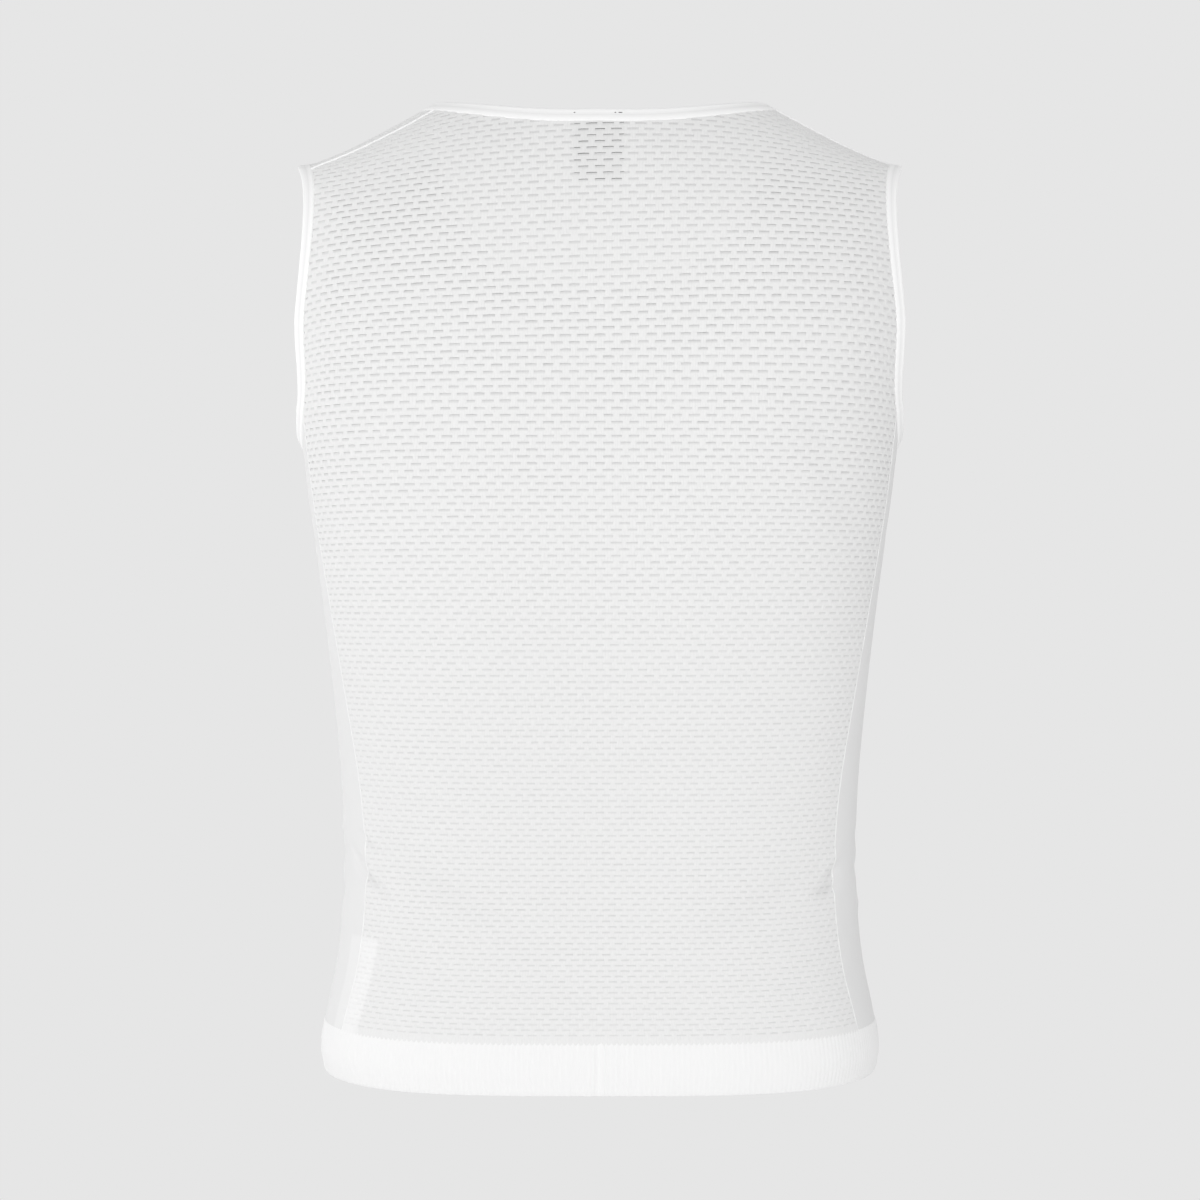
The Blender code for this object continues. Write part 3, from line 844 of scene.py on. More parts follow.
    def outline(self, armhole_points: int = 90, seam_points: int = 24, neck_points: int = 60) -> Array:
        """The cut of the panel in the chart, counter-clockwise from its lower left corner.

        Args:
            armhole_points: Steps along each armhole.
            seam_points: Steps along each shoulder seam.
            neck_points: Steps along each half of the neck.

        Returns:
            One row a corner.
        """
        halves = []
        for side in (1, -1):
            edge = self.columns / 2 * self.column_unit * side
            start = self.form.underarm_angle(self.front)
            end = self.form.shoulder_angle(side)
            armhole = self.form.armhole_seam(side, start, end, armhole_points)[1:]
            shoulder = self.form.shoulder_seam(side, seam_points)[::-1]
            neck = self.form.neck_run(side, self.front, neck_points)[::-1]
            run = self.charted(np.concatenate([armhole, shoulder[1:-1], neck]))
            base = np.array([[edge, -self.cut_below_seam], [edge, self.underarm_row]])
            halves.append(np.concatenate([base, run]))
        return np.concatenate([halves[0], halves[1][-2::-1]])


def within(points: Array, outline: Array) -> Array:
    """Whether points lie inside a closed outline, by counting crossings.

    Args:
        points: One row a point.
        outline: The outline's corners in order.

    Returns:
        True or False for each point.
    """
    inside = np.zeros(len(points), dtype=bool)
    for (ax, ay), (bx, by) in zip(outline, np.roll(outline, -1, axis=0)):
        spans = (ay > points[:, 1]) != (by > points[:, 1])
        rise = by - ay if abs(by - ay) > TINY else TINY
        inside ^= spans & (points[:, 0] < (bx - ax) * (points[:, 1] - ay) / rise + ax)
    return inside


def nearest_on(points: Array, outline: Array, scale: Array) -> Array:
    """The nearest point of a closed outline to each point, where lengths are scaled by axis.

    Args:
        points: One row a point.
        outline: The outline's corners in order.
        scale: What each axis is multiplied by.

    Returns:
        One row a point.
    """
    best = np.full(len(points), FAR)
    found = points.copy()
    for start, end in zip(outline, np.roll(outline, -1, axis=0)):
        step = (end - start) * scale
        share = np.clip(((points - start) * scale) @ step / max(step @ step, TINY), 0.0, 1.0)
        there = start + share[:, None] * (end - start)
        away = np.linalg.norm((points - there) * scale, axis=1)
        closer = away < best
        best = np.where(closer, away, best)
        found[closer] = there[closer]
    return found


class Node:
    """A short way to add nodes to a tree and link them."""

    def __init__(self, tree: bpy.types.NodeTree) -> None:
        """Keeps the tree that the nodes go into."""
        self.tree = tree

    def put(self, socket: bpy.types.NodeSocket, value: object) -> None:
        """Links a socket to another one, or sets its value.

        Args:
            socket: The socket to set.
            value: Another socket or a value.
        """
        if isinstance(value, bpy.types.NodeSocket):
            self.tree.links.new(value, socket)
        else:
            socket.default_value = value

    def maths(self, operation: str, *values: object) -> bpy.types.NodeSocket:
        """A Math node's output.

        Args:
            operation: The operation's name.
            values: Its inputs in order.

        Returns:
            The output.
        """
        node = self.tree.nodes.new("ShaderNodeMath")
        node.operation = operation
        for socket, value in zip(node.inputs, values):
            self.put(socket, value)
        return node.outputs[0]

    def noise(self, vector: bpy.types.NodeSocket, scale: float, detail: float) -> bpy.types.NodeSocket:
        """A Noise node's value.

        Args:
            vector: Where it is read.
            scale: How fine it is.
            detail: How many octaves it has.

        Returns:
            The value.
        """
        node = self.tree.nodes.new("ShaderNodeTexNoise")
        self.put(node.inputs["Vector"], vector)
        node.inputs["Scale"].default_value = scale
        node.inputs["Detail"].default_value = detail
        return node.outputs["Fac"]

    def attribute(self, name: str) -> bpy.types.NodeSocket:
        """The value of a number that the mesh holds.

        Args:
            name: Its name.

        Returns:
            The value.
        """
        node = self.tree.nodes.new("ShaderNodeAttribute")
        node.attribute_name = name
        return node.outputs["Fac"]

    def by_ray(self, shown: float, shining: float) -> bpy.types.NodeSocket:
        """One strength for what the camera sees and another for what lights the cloth."""
        seen = self.tree.nodes.new("ShaderNodeLightPath").outputs["Is Camera Ray"]
        return self.maths("MULTIPLY_ADD", seen, shown - shining, shining)

    def mixed(self, share: object, a: object, b: object) -> bpy.types.NodeSocket:
        """A colour mixed from two.

        Args:
            share: The share of the second.
            a: The first.
            b: The second.

        Returns:
            The colour.
        """
        node = self.tree.nodes.new("ShaderNodeMix")
        node.data_type = "RGBA"
        self.put(node.inputs["Factor"], share)
        self.put(node.inputs["A"], a)
        self.put(node.inputs["B"], b)
        return node.outputs["Result"]


@dataclass(frozen=True)
class Stitches:
    """The pattern of knitted stitches that every finish draws over its own UV map."""

    usual: tuple[tuple[str, float], ...] = (("Wales", 1000.0), ("Courses", 1400.0), ("Uneven", 0.3))
    loop_swell: float = 0.35
    blot_stretch: float = 0.15
    blot_scale: float = 0.9
    blot_detail: float = 2.0
    stitch_shade: float = 0.6

    def group(self) -> bpy.types.NodeTree:
        """Makes the node group.

        Returns:
            A group with the outputs Height, which is 0 between the wales and 1 on them, and Shade.
        """
        group = bpy.data.node_groups.new("knit_stitches", "ShaderNodeTree")
        face = group.interface
        face.new_socket("Vector", in_out="INPUT", socket_type="NodeSocketVector")
        for name, value in self.usual:
            socket = face.new_socket(name, in_out="INPUT", socket_type="NodeSocketFloat")
            socket.default_value = value
        for name in ("Height", "Shade"):
            face.new_socket(name, in_out="OUTPUT", socket_type="NodeSocketFloat")
        start = group.nodes.new("NodeGroupInput")
        end = group.nodes.new("NodeGroupOutput")
        make = Node(group)
        apart = group.nodes.new("ShaderNodeSeparateXYZ")
        make.put(apart.inputs[0], start.outputs["Vector"])
        wale = make.maths("MULTIPLY", apart.outputs["X"], start.outputs["Wales"])
        course = make.maths("MULTIPLY", apart.outputs["Y"], start.outputs["Courses"])
        ridge = make.maths("ABSOLUTE", make.maths("SINE", make.maths("MULTIPLY", wale, math.pi)))
        slant = make.maths("PINGPONG", make.maths("ADD", wale, 0.5), 0.5)
        phase = make.maths("MULTIPLY", make.maths("ADD", course, slant), 2 * math.pi)
        loops = make.maths("MULTIPLY_ADD", make.maths("SINE", phase), 0.5, 0.5)
        swell = make.maths("MULTIPLY_ADD", loops, self.loop_swell, 1 - self.loop_swell)
        stitch = make.maths("MULTIPLY", ridge, swell)
        both = group.nodes.new("ShaderNodeCombineXYZ")
        make.put(both.inputs["X"], wale)
        make.put(both.inputs["Y"], make.maths("MULTIPLY", course, self.blot_stretch))
        blot = make.noise(both.outputs[0], self.blot_scale, self.blot_detail)
        swing = make.maths("MULTIPLY", make.maths("SUBTRACT", blot, 0.5), start.outputs["Uneven"])
        shade = make.maths("MULTIPLY_ADD", stitch, self.stitch_shade, 1 - self.stitch_shade)
        make.put(end.inputs["Height"], make.maths("ADD", stitch, swing))
        make.put(end.inputs["Shade"], make.maths("ADD", shade, swing))
        return group


def grey(level: float) -> Colour:
    """A grey of one level."""
    return (level, level, level)


@dataclass(frozen=True)
class Knit:
    """A knitted finish, drawn with stitches over a piece's UV map."""

    name: str
    light: Colour
    shaded: Colour
    roughness: float
    wales: float
    courses: float
    bump: float
    uneven: float = 0.3
    sheen: float = 0.15
    # How far the painted shade in slots, creases and grooves, with the neck label's darker tone, darkens the
    # shaded colour
    shade_and_label_tone: float = 0.0
    backed: float = 0.0
    backing: float = 0.93
    cloud_scale: float = 9.0
    cloud_detail: float = 3.0
    cloud_shade: float = 0.25
    cloud_rough: float = 0.1
    sheen_roughness: float = 0.5

    def material(self, stitches: bpy.types.NodeTree) -> bpy.types.Material:
        """The finish's material.

        Args:
            stitches: The shared group of stitches.

        Returns:
            A Principled material whose colour, roughness and normal follow the stitches.
        """
        made = bpy.data.materials.new(self.name)
        made.use_nodes = True
        tree = made.node_tree
        make = Node(tree)
        shader = tree.nodes["Principled BSDF"]
        chart = tree.nodes.new("ShaderNodeUVMap")
        chart.uv_map = "cloth"
        knit = tree.nodes.new("ShaderNodeGroup")
        knit.node_tree = stitches
        make.put(knit.inputs["Vector"], chart.outputs[0])
        for name, value in (("Wales", self.wales), ("Courses", self.courses), ("Uneven", self.uneven)):
            knit.inputs[name].default_value = value
        coords = tree.nodes.new("ShaderNodeTexCoord")
        cloud = make.noise(coords.outputs["Object"], self.cloud_scale, self.cloud_detail)
        shade = make.maths("MULTIPLY_ADD", cloud, self.cloud_shade, knit.outputs["Shade"])
        colour = make.mixed(shade, (*self.shaded, 1.0), (*self.light, 1.0))
        # Painted shade in the slots, creases and the binding's groove, and the neck label's darker tone, come
        # from a number a vertex
        if self.shade_and_label_tone:
            dimmed = tuple(part * (1 - self.shade_and_label_tone) for part in self.shaded)
            colour = make.mixed(make.attribute("shade_and_label_tone"), colour, (*dimmed, 1.0))
        if self.backed:
            share = make.maths("MULTIPLY", make.attribute("backed"), self.backed)
            colour = make.mixed(share, colour, (*grey(self.backing), 1.0))
        make.put(shader.inputs["Base Color"], colour)
        smoothest = self.roughness - self.cloud_rough / 2
        rough = make.maths("MULTIPLY_ADD", cloud, self.cloud_rough, smoothest)
        make.put(shader.inputs["Roughness"], rough)
        shader.inputs["Sheen Weight"].default_value = self.sheen
        shader.inputs["Sheen Roughness"].default_value = self.sheen_roughness
        bump = tree.nodes.new("ShaderNodeBump")
        bump.inputs["Distance"].default_value = self.bump
        make.put(bump.inputs["Height"], knit.outputs["Height"])
        make.put(shader.inputs["Normal"], bump.outputs[0])
        return made


class Slot(Enum):
    """The record's material slots."""

    MESH = "mesh_knit"
    PLAIN = "plain_knit"
    RIB = "rib_knit"
    BINDING = "binding"
    NECK_LABEL = "neck_label"
    CARE_LABEL = "care_label"


@dataclass
class Finishes:
    """Every material of the garment, each made once."""

    made: dict[str, bpy.types.Material] = field(default_factory=dict)

    def __post_init__(self) -> None:
        """Makes the materials."""
        stitches = Stitches().group()
        mesh_light = (0.845, 0.845, 0.843)
        # Name, light and shaded colour, roughness, wales and courses, bump in metres. The mesh's
        # wales and courses are counted in a unit of its chart, and the others' in a metre
        kinds = (
            Knit(
                "mesh_cloth", mesh_light, grey(0.75), 0.8, 7.0, 6.0, 7e-5, uneven=1.2, shade_and_label_tone=0.12, backed=0.6
            ),
            Knit("plain_cloth", grey(0.80), grey(0.71), 0.75, 1050.0, 1300.0, 6e-5, backed=0.25),
            Knit("rib_cloth", grey(0.92), grey(0.84), 0.8, 2100.0, 1500.0, 5e-5),
            Knit("binding_cloth", grey(0.97), grey(0.91), 0.6, 1900.0, 1500.0, 3e-5, shade_and_label_tone=0.14),
            Knit("seam_thread", grey(0.94), grey(0.84), 0.55, 800.0, 900.0, 8e-5),
            Knit("dark_thread", grey(0.05), grey(0.02), 0.6, 900.0, 900.0, 3e-5),
            Knit("label_cloth", grey(0.035), grey(0.018), 0.6, 3200.0, 3200.0, 4e-5),
            Knit("care_cloth", grey(0.95), grey(0.88), 0.42, 4000.0, 4000.0, 2e-5),
        )
        for kind in kinds:
            self.made[kind.name] = kind.material(stitches)

    def dress(self, piece: bpy.types.Object, name: str, slot: Slot) -> None:
        """Gives a piece its material and body, and logs it.

        Args:
            piece: The piece.
            name: The finish's name.
            slot: The record's slot, which is not used.
        """
        piece.data.materials.append(self.made[name])
        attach(piece, "root")
        log.info("%s: %d faces", piece.name, len(piece.data.polygons))


def object_of(name: str, work: bmesh.types.BMesh, sharp: float = SHARP_CLOTH) -> bpy.types.Object:
    """Makes a mesh object of a bmesh and frees it.

    Args:
        name: The object's name.
        work: The bmesh.
        sharp: The angle past which an edge is sharp, in degrees.

    Returns:
        The object, linked to the scene.
    """
    mesh = bpy.data.meshes.new(name)
    work.to_mesh(mesh)
    work.free()
    mesh.shade_smooth()
    mesh.set_sharp_from_angle(angle=math.radians(sharp))
    made = bpy.data.objects.new(name, mesh)
    bpy.context.scene.collection.objects.link(made)
    return made


def give_chart(work: bmesh.types.BMesh, chart: Array) -> None:
    """Gives a bmesh its UV map, from one row a vertex.

    Args:
        work: The bmesh.
        chart: One row a vertex.
    """
    work.verts.index_update()
    layer = work.loops.layers.uv.new("cloth")
    for face in work.faces:
        for loop in face.loops:
            loop[layer].uv = chart[loop.vert.index]


def paint(work: bmesh.types.BMesh, name: str, values: Array) -> None:
    """Gives a bmesh a number a vertex, which a material reads by its name.

    Args:
        work: The bmesh.
        name: Its name.
        values: One number a vertex.
    """
    layer = work.verts.layers.float.new(name)
    for vert, value in zip(work.verts, values):
        vert[layer] = value


def lay(work: bmesh.types.BMesh, points: Array) -> None:
    """Moves the vertices of a bmesh, from one row a vertex."""
    for vert, point in zip(work.verts, points):
        vert.co = point


def clear_of(work: bmesh.types.BMesh, kept: Array) -> list[bmesh.types.BMFace]:
    """The faces of a bmesh that have none of the kept vertices."""
    work.verts.index_update()
    return [face for face in work.faces if not any(kept[vert.index] for vert in face.verts)]


def laid_grid(columns: int, rows: int, place: Place, merge: float = 0.0) -> bmesh.types.BMesh:
    """A grid laid in space by a function, with its UV map.

    Args:
        columns: Faces across.
        rows: Faces up.
        place: Gives the points and UVs for shares across and up.
        merge: The distance at which its edges are joined, or 0 for none.

    Returns:
        The grid as a bmesh.
    """
    work = bmesh.new()
    bmesh.ops.create_grid(work, x_segments=columns, y_segments=rows, size=1.0)
    flat = np.array([vert.co[:2] for vert in work.verts])
    points, chart = place((flat[:, 0] + 1) / 2, (flat[:, 1] + 1) / 2)
    give_chart(work, chart)
    lay(work, points)
    if merge:
        bmesh.ops.remove_doubles(work, verts=work.verts, dist=merge)
    bmesh.ops.recalc_face_normals(work, faces=work.faces)
    return work


@dataclass
class MeshPanel:
    """The back or front, an openwork mesh of brick-laid slots under thin lips.

    The sizes of a slot are in rows of the chart, and relief is what a row is high in metres when
    they stand out of the form. backing_reach and deepest_crease are in metres.
    """

    form: TorsoForm
    creases: Creases
    finishes: Finishes
    front: bool
    bar: float = 0.256
    wall: float = 0.045
    slit: float = 0.030
    slope_depth: float = 0.105
    lip: float = 0.09
    bulge: float = 0.05
    taper: float = 0.12
    backing_reach: float = 0.0012
    strengths: tuple[tuple[float, float], ...] = (
        (0.0, 0.55),
        (45.0, 0.62),
        (95.0, 0.82),
        (125.0, 0.92),
    )
    least_height: float = 0.45
    floor_shade: float = 0.35
    lip_shade: float = 0.8
    lip_reach: float = 0.02
    wander_up: float = 0.6
    uneven_depth: float = 1.3
    relief: float = 0.0042
    wander: float = 0.018
    uneven: float = 0.07
    plain_rows: float = 1.0
    shoulder_fade: float = 0.5
    fade_from: tuple[float, float] = (8.0, 134.0)
    fade_over: tuple[float, float] = (12.0, 16.0)
    deepest_crease: float = 0.0024
    crease_shade: float = 0.45
    label_shade: float = 0.18
    seeds: tuple[int, int] = (7, 11)

    def strength(self, middle: Vector) -> float:
        """How strongly a slot shows, in its depth and its painted shade: less towards the hem and out over
        the shoulders.

        Args:
            middle: The slot's middle in the chart.

        Returns:
            A share from 0 to 1.
        """
        by_row = float(np.interp(middle.y, *np.array(self.strengths).T))
        out = smoothstep((abs(middle.x) - self.fade_from[0]) / self.fade_over[0])
        up = smoothstep((middle.y - self.fade_from[1]) / self.fade_over[1])
        return by_row * (1 - self.shoulder_fade * float(out * up))

    def cells(self, chart: Chart, outline: Array) -> bmesh.types.BMesh:
        """The lattice of brick-laid cells over the cut of the panel.

        Args:
            chart: The panel's chart.
            outline: The panel's cut in the chart.

        Returns:
            A bmesh of six-sided cells, one a slot.
        """
        half_cell = chart.column_unit / 2
        reach = math.ceil(np.abs(outline[:, 0]).max() / half_cell) + 1
        rows = math.ceil(outline[:, 1].max()) + 2
        work = bmesh.new()
        bmesh.ops.create_grid(work, x_segments=2 * reach, y_segments=rows, size=1.0)
        bmesh.ops.scale(work, vec=(reach * half_cell, rows / 2, 1.0), verts=work.verts)
        bmesh.ops.translate(work, vec=(0.0, rows / 2 - 1, 0.0), verts=work.verts)
        joined = []
        for edge in work.edges:
            a, b = (vert.co for vert in edge.verts)
            if abs(a.x - b.x) < half_cell / 2:
                column = round(a.x / half_cell)
                row = math.floor((a.y + b.y) / 2)
                if (column + row) % 2:
                    joined.append(edge)
        bmesh.ops.dissolve_edges(work, edges=joined, use_verts=False, use_face_split=False)
        middles = np.array([vert.co[:2] for vert in work.verts])
        bmesh.ops.delete(work, geom=clear_of(work, within(middles, outline)), context="FACES")
        return work

    def cut_slots(self, work: bmesh.types.BMesh, chance: np.random.Generator) -> None:
        """Cuts a slot into every cell: a sloping floor, and a slit under the upper band's lip. Paints shade
        on each floor and lip.

        Args:
            work: The bmesh.
            chance: The random numbers.
        """
        shade_and_label_tone = work.verts.layers.float.new("shade_and_label_tone")
        for vert in work.verts:
            vert.co.x += chance.normal(0.0, self.wander)
            vert.co.y += chance.normal(0.0, self.wander * self.wander_up)
        cells = [face for face in work.faces if face.calc_center_median().y > self.plain_rows]
        bands = list(work.verts)
        bmesh.ops.inset_individual(work, faces=cells, thickness=self.bar, use_even_offset=True)
        upper = set()
        for cell in cells:
            middle = cell.calc_center_median()
            stretch = 1 + chance.normal(0.0, self.uneven)
            tall = self.least_height + (1 - self.least_height) * self.strength(middle)
            reach = max(abs(vert.co.x - middle.x) for vert in cell.verts)
            for vert in cell.verts:
                side = abs(vert.co.x - middle.x) / reach
                vert.co.x = middle.x + (vert.co.x - middle.x) * stretch
                narrowed = 1 - self.taper * (side > 0.5)
                vert.co.y = middle.y + (vert.co.y - middle.y) * tall * narrowed
                if vert.co.y > middle.y:
                    upper.add(vert)
        walls = bmesh.ops.inset_individual(
            work, faces=cells, thickness=self.wall, depth=0.0, use_even_offset=True
        )["faces"]
        for cell in cells:
            middle = cell.calc_center_median()
            deep = 1 + chance.normal(0.0, self.uneven_depth * self.uneven)
            strength = self.strength(middle) * deep
            for vert in cell.verts:
                # Painted shade: a little on the slot's floor, and full where the floor runs up under the lip
                vert[shade_and_label_tone] = self.floor_shade * strength
                if vert.co.y > middle.y:
                    vert.co.y -= self.slit * strength - self.wall
                    vert.co.z = -self.slope_depth * strength
                    vert[shade_and_label_tone] = strength
                    upper.add(vert)
        open_walls = [face for face in walls if all(vert in upper for vert in face.verts)]
        rims = [
            edge
            for face in open_walls
            for edge in face.edges
            if all(vert[shade_and_label_tone] == 0.0 for vert in edge.verts)
        ]
        bmesh.ops.delete(work, geom=open_walls, context="FACES")
        lips = bmesh.ops.extrude_edge_only(work, edges=[edge for edge in rims if edge.is_valid])
        # Painted shade on the lips that turn down into the slits
        for vert in (item for item in lips["geom"] if isinstance(item, bmesh.types.BMVert)):
            vert.co.z -= self.lip
            vert.co.y += self.lip_reach
            vert[shade_and_label_tone] = self.lip_shade
        for vert in bands:
            vert.co.z += self.bulge

    def build(self) -> bpy.types.Object:
        """Builds the panel and lays it on the form.

        Returns:
            The panel.
        """
        name = "front" if self.front else "back"
        chart = Chart(self.form, self.front)
        outline = chart.outline()
        work = self.cells(chart, outline)
        cells = len(work.faces)
        self.cut_slots(work, np.random.default_rng(self.seeds[self.front]))
        flat = np.array([vert.co for vert in work.verts])
        kept = within(flat[:, :2], outline)
        lost = clear_of(work, kept)
        outside = np.flatnonzero(~kept)
        across_scale = chart.seam_arc * 2 / chart.columns / chart.column_unit
        scale = np.array([across_scale, chart.upper_pitch])
        flat[outside, :2] = nearest_on(flat[outside, :2], outline, scale)
        give_chart(work, flat[:, :2])
        points = chart.placed(flat[:, :2])
        out = self.form.normals(points)
        paint(work, "backed", CareLabelPlace(self.form).behind(points, self.backing_reach))
        pressed = self.creases.depth(points)
        # Painted shade in the creases, and the darker tone of the neck label behind the cloth, join the
        # slots' painted shade
        shade = self.crease_shade * smoothstep(pressed / self.deepest_crease)
        shade = shade + self.label_shade * NeckLabelPlace(self.form).behind(points, self.backing_reach)
        shade_and_label_tone = work.verts.layers.float["shade_and_label_tone"]
        for vert, share in zip(work.verts, shade):
            vert[shade_and_label_tone] = min(1.0, vert[shade_and_label_tone] + share)
        lift = flat[:, 2] * self.relief - pressed
        lay(work, points + out * lift[:, None])
        bmesh.ops.delete(work, geom=lost, context="FACES")
        if not self.front:
            bmesh.ops.reverse_faces(work, faces=work.faces)
        panel = object_of(f"{name}_mesh_panel", work, SHARP_SLOTS)
        self.finishes.dress(panel, "mesh_cloth", Slot.MESH)
        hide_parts(f"{name}_panel")
        log.info("%s: %d slots in %.0f rows", panel.name, cells, outline[:, 1].max())
        return panel


@dataclass
class SidePanel:
    """A plain-knit strip from the underarm to the hem band."""

    form: TorsoForm
    creases: Creases
    finishes: Finishes
    side: int
    columns: int = 44
    rows: int = 200
    drop_power: int = 4
    overlap: float = 0.001
    backing_reach: float = 0.0008

    def place(self, across: Array, up: Array) -> tuple[Array, Array]:
        """Where the strip's points lie, and their UVs in metres.

        Args:
            across: Shares across.
            up: Shares up.

        Returns:
            The points and the UVs.
        """
        form = self.form
        back = form.underarm_angle(False)
        front = form.underarm_angle(True) - 2 * math.pi
        drop = up**self.drop_power
        seam_y, seam_z = form.armhole_side_view(back + (front - back) * across)
        bottom = HEM_SEAM - self.overlap
        height = bottom + (UNDERARM - bottom) * up + (seam_z - UNDERARM) * drop
        back_y = form.side_seam_y(height, False)
        level_y = back_y * (1 - across) + form.side_seam_y(height, True) * across
        y = level_y + (seam_y - level_y) * drop
        points = form.on_side(y, height, self.side)
        points = points - form.normals(points) * self.creases.depth(points)[:, None]
        return points, np.stack([y, height], axis=1)

    def build(self) -> bpy.types.Object:
        """Builds the strip.

        Returns:
            The piece.
        """
        word = "left" if self.side > 0 else "right"
        work = laid_grid(self.columns, self.rows, self.place)
        middle = work.faces[:][len(work.faces) // 2]
        if middle.normal.x * self.side < 0:
            bmesh.ops.reverse_faces(work, faces=work.faces)
        points = np.array([vert.co for vert in work.verts])
        paint(work, "backed", CareLabelPlace(self.form).behind(points, self.backing_reach))
        strip = object_of(f"side_strip_{word}", work)
        self.finishes.dress(strip, "plain_cloth", Slot.PLAIN)
        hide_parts(f"side_panel_{word}")
        return strip


@dataclass
class HemBand:
    """The ribbed band round the hem, one ring with a rolled lower edge."""

    form: TorsoForm
    creases: Creases
    finishes: Finishes
    ribs: int = 292
    points_a_rib: int = 4
    rows: int = 16
    snug: float = 0.004
    wall: float = 0.0013
    proud: float = 0.0005
    rib_height: float = 0.00014
    serration: float = 0.0003
    roll: float = 0.06
    curl: float = 0.0003
    edge: float = 0.08
    edge_sunk: float = 0.8
    angle_steps: int = 6001

    def place(self, across: Array, up: Array) -> tuple[Array, Array]:
        """Where the band's points lie, and their UVs in metres.

        Args:
            across: Shares across.
            up: Shares up.

        Returns:
            The points and the UVs.
        """
        angle = np.linspace(0.0, 2 * math.pi, self.angle_steps)
        middle = np.full_like(angle, (HEM_HEIGHT + HEM_SEAM) / 2)
        run = arc_lengths(self.form.ring(angle, middle))
        turn = np.interp(across * run[-1], run, angle)
        rib = np.cos(2 * math.pi * self.ribs * across)
        snugged = (0.0, self.snug, 1 - self.snug, 1.0)
        up = np.interp(up * self.rows, (0, 1, self.rows - 1, self.rows), snugged)
        edge = smoothstep((up - 1 + self.edge) / self.edge)
        height = HEM_HEIGHT + (HEM_SEAM - HEM_HEIGHT) * up + self.serration * edge * rib
        points = self.form.ring(turn, height)
        curl = np.clip(1 - up / self.roll, 0.0, 1.0) ** 2
        lift = self.proud * (1 - self.edge_sunk * edge) + self.rib_height * rib - self.curl * curl
        lift = lift - self.creases.depth(points)
        points = points + self.form.normals(points) * lift[:, None]
        return points, np.stack([across * run[-1], height], axis=1)

    def build(self) -> bpy.types.Object:
        """Builds the band.

        Returns:
            The piece.
        """
        work = laid_grid(self.ribs * self.points_a_rib, self.rows, self.place, merge=1e-5)
        first = work.faces[:][0]
        outward = first.calc_center_median() * Vector((1.0, 1.0, 0.0))
        if first.normal.dot(outward) < 0:
            bmesh.ops.reverse_faces(work, faces=work.faces)
        band = object_of("ribbed_hem", work)
        self.finishes.dress(band, "rib_cloth", Slot.RIB)
        wall = band.modifiers.new("wall", "SOLIDIFY")
        wall.thickness = self.wall
        wall.offset = -1.0
        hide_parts("hem_band")
        return band


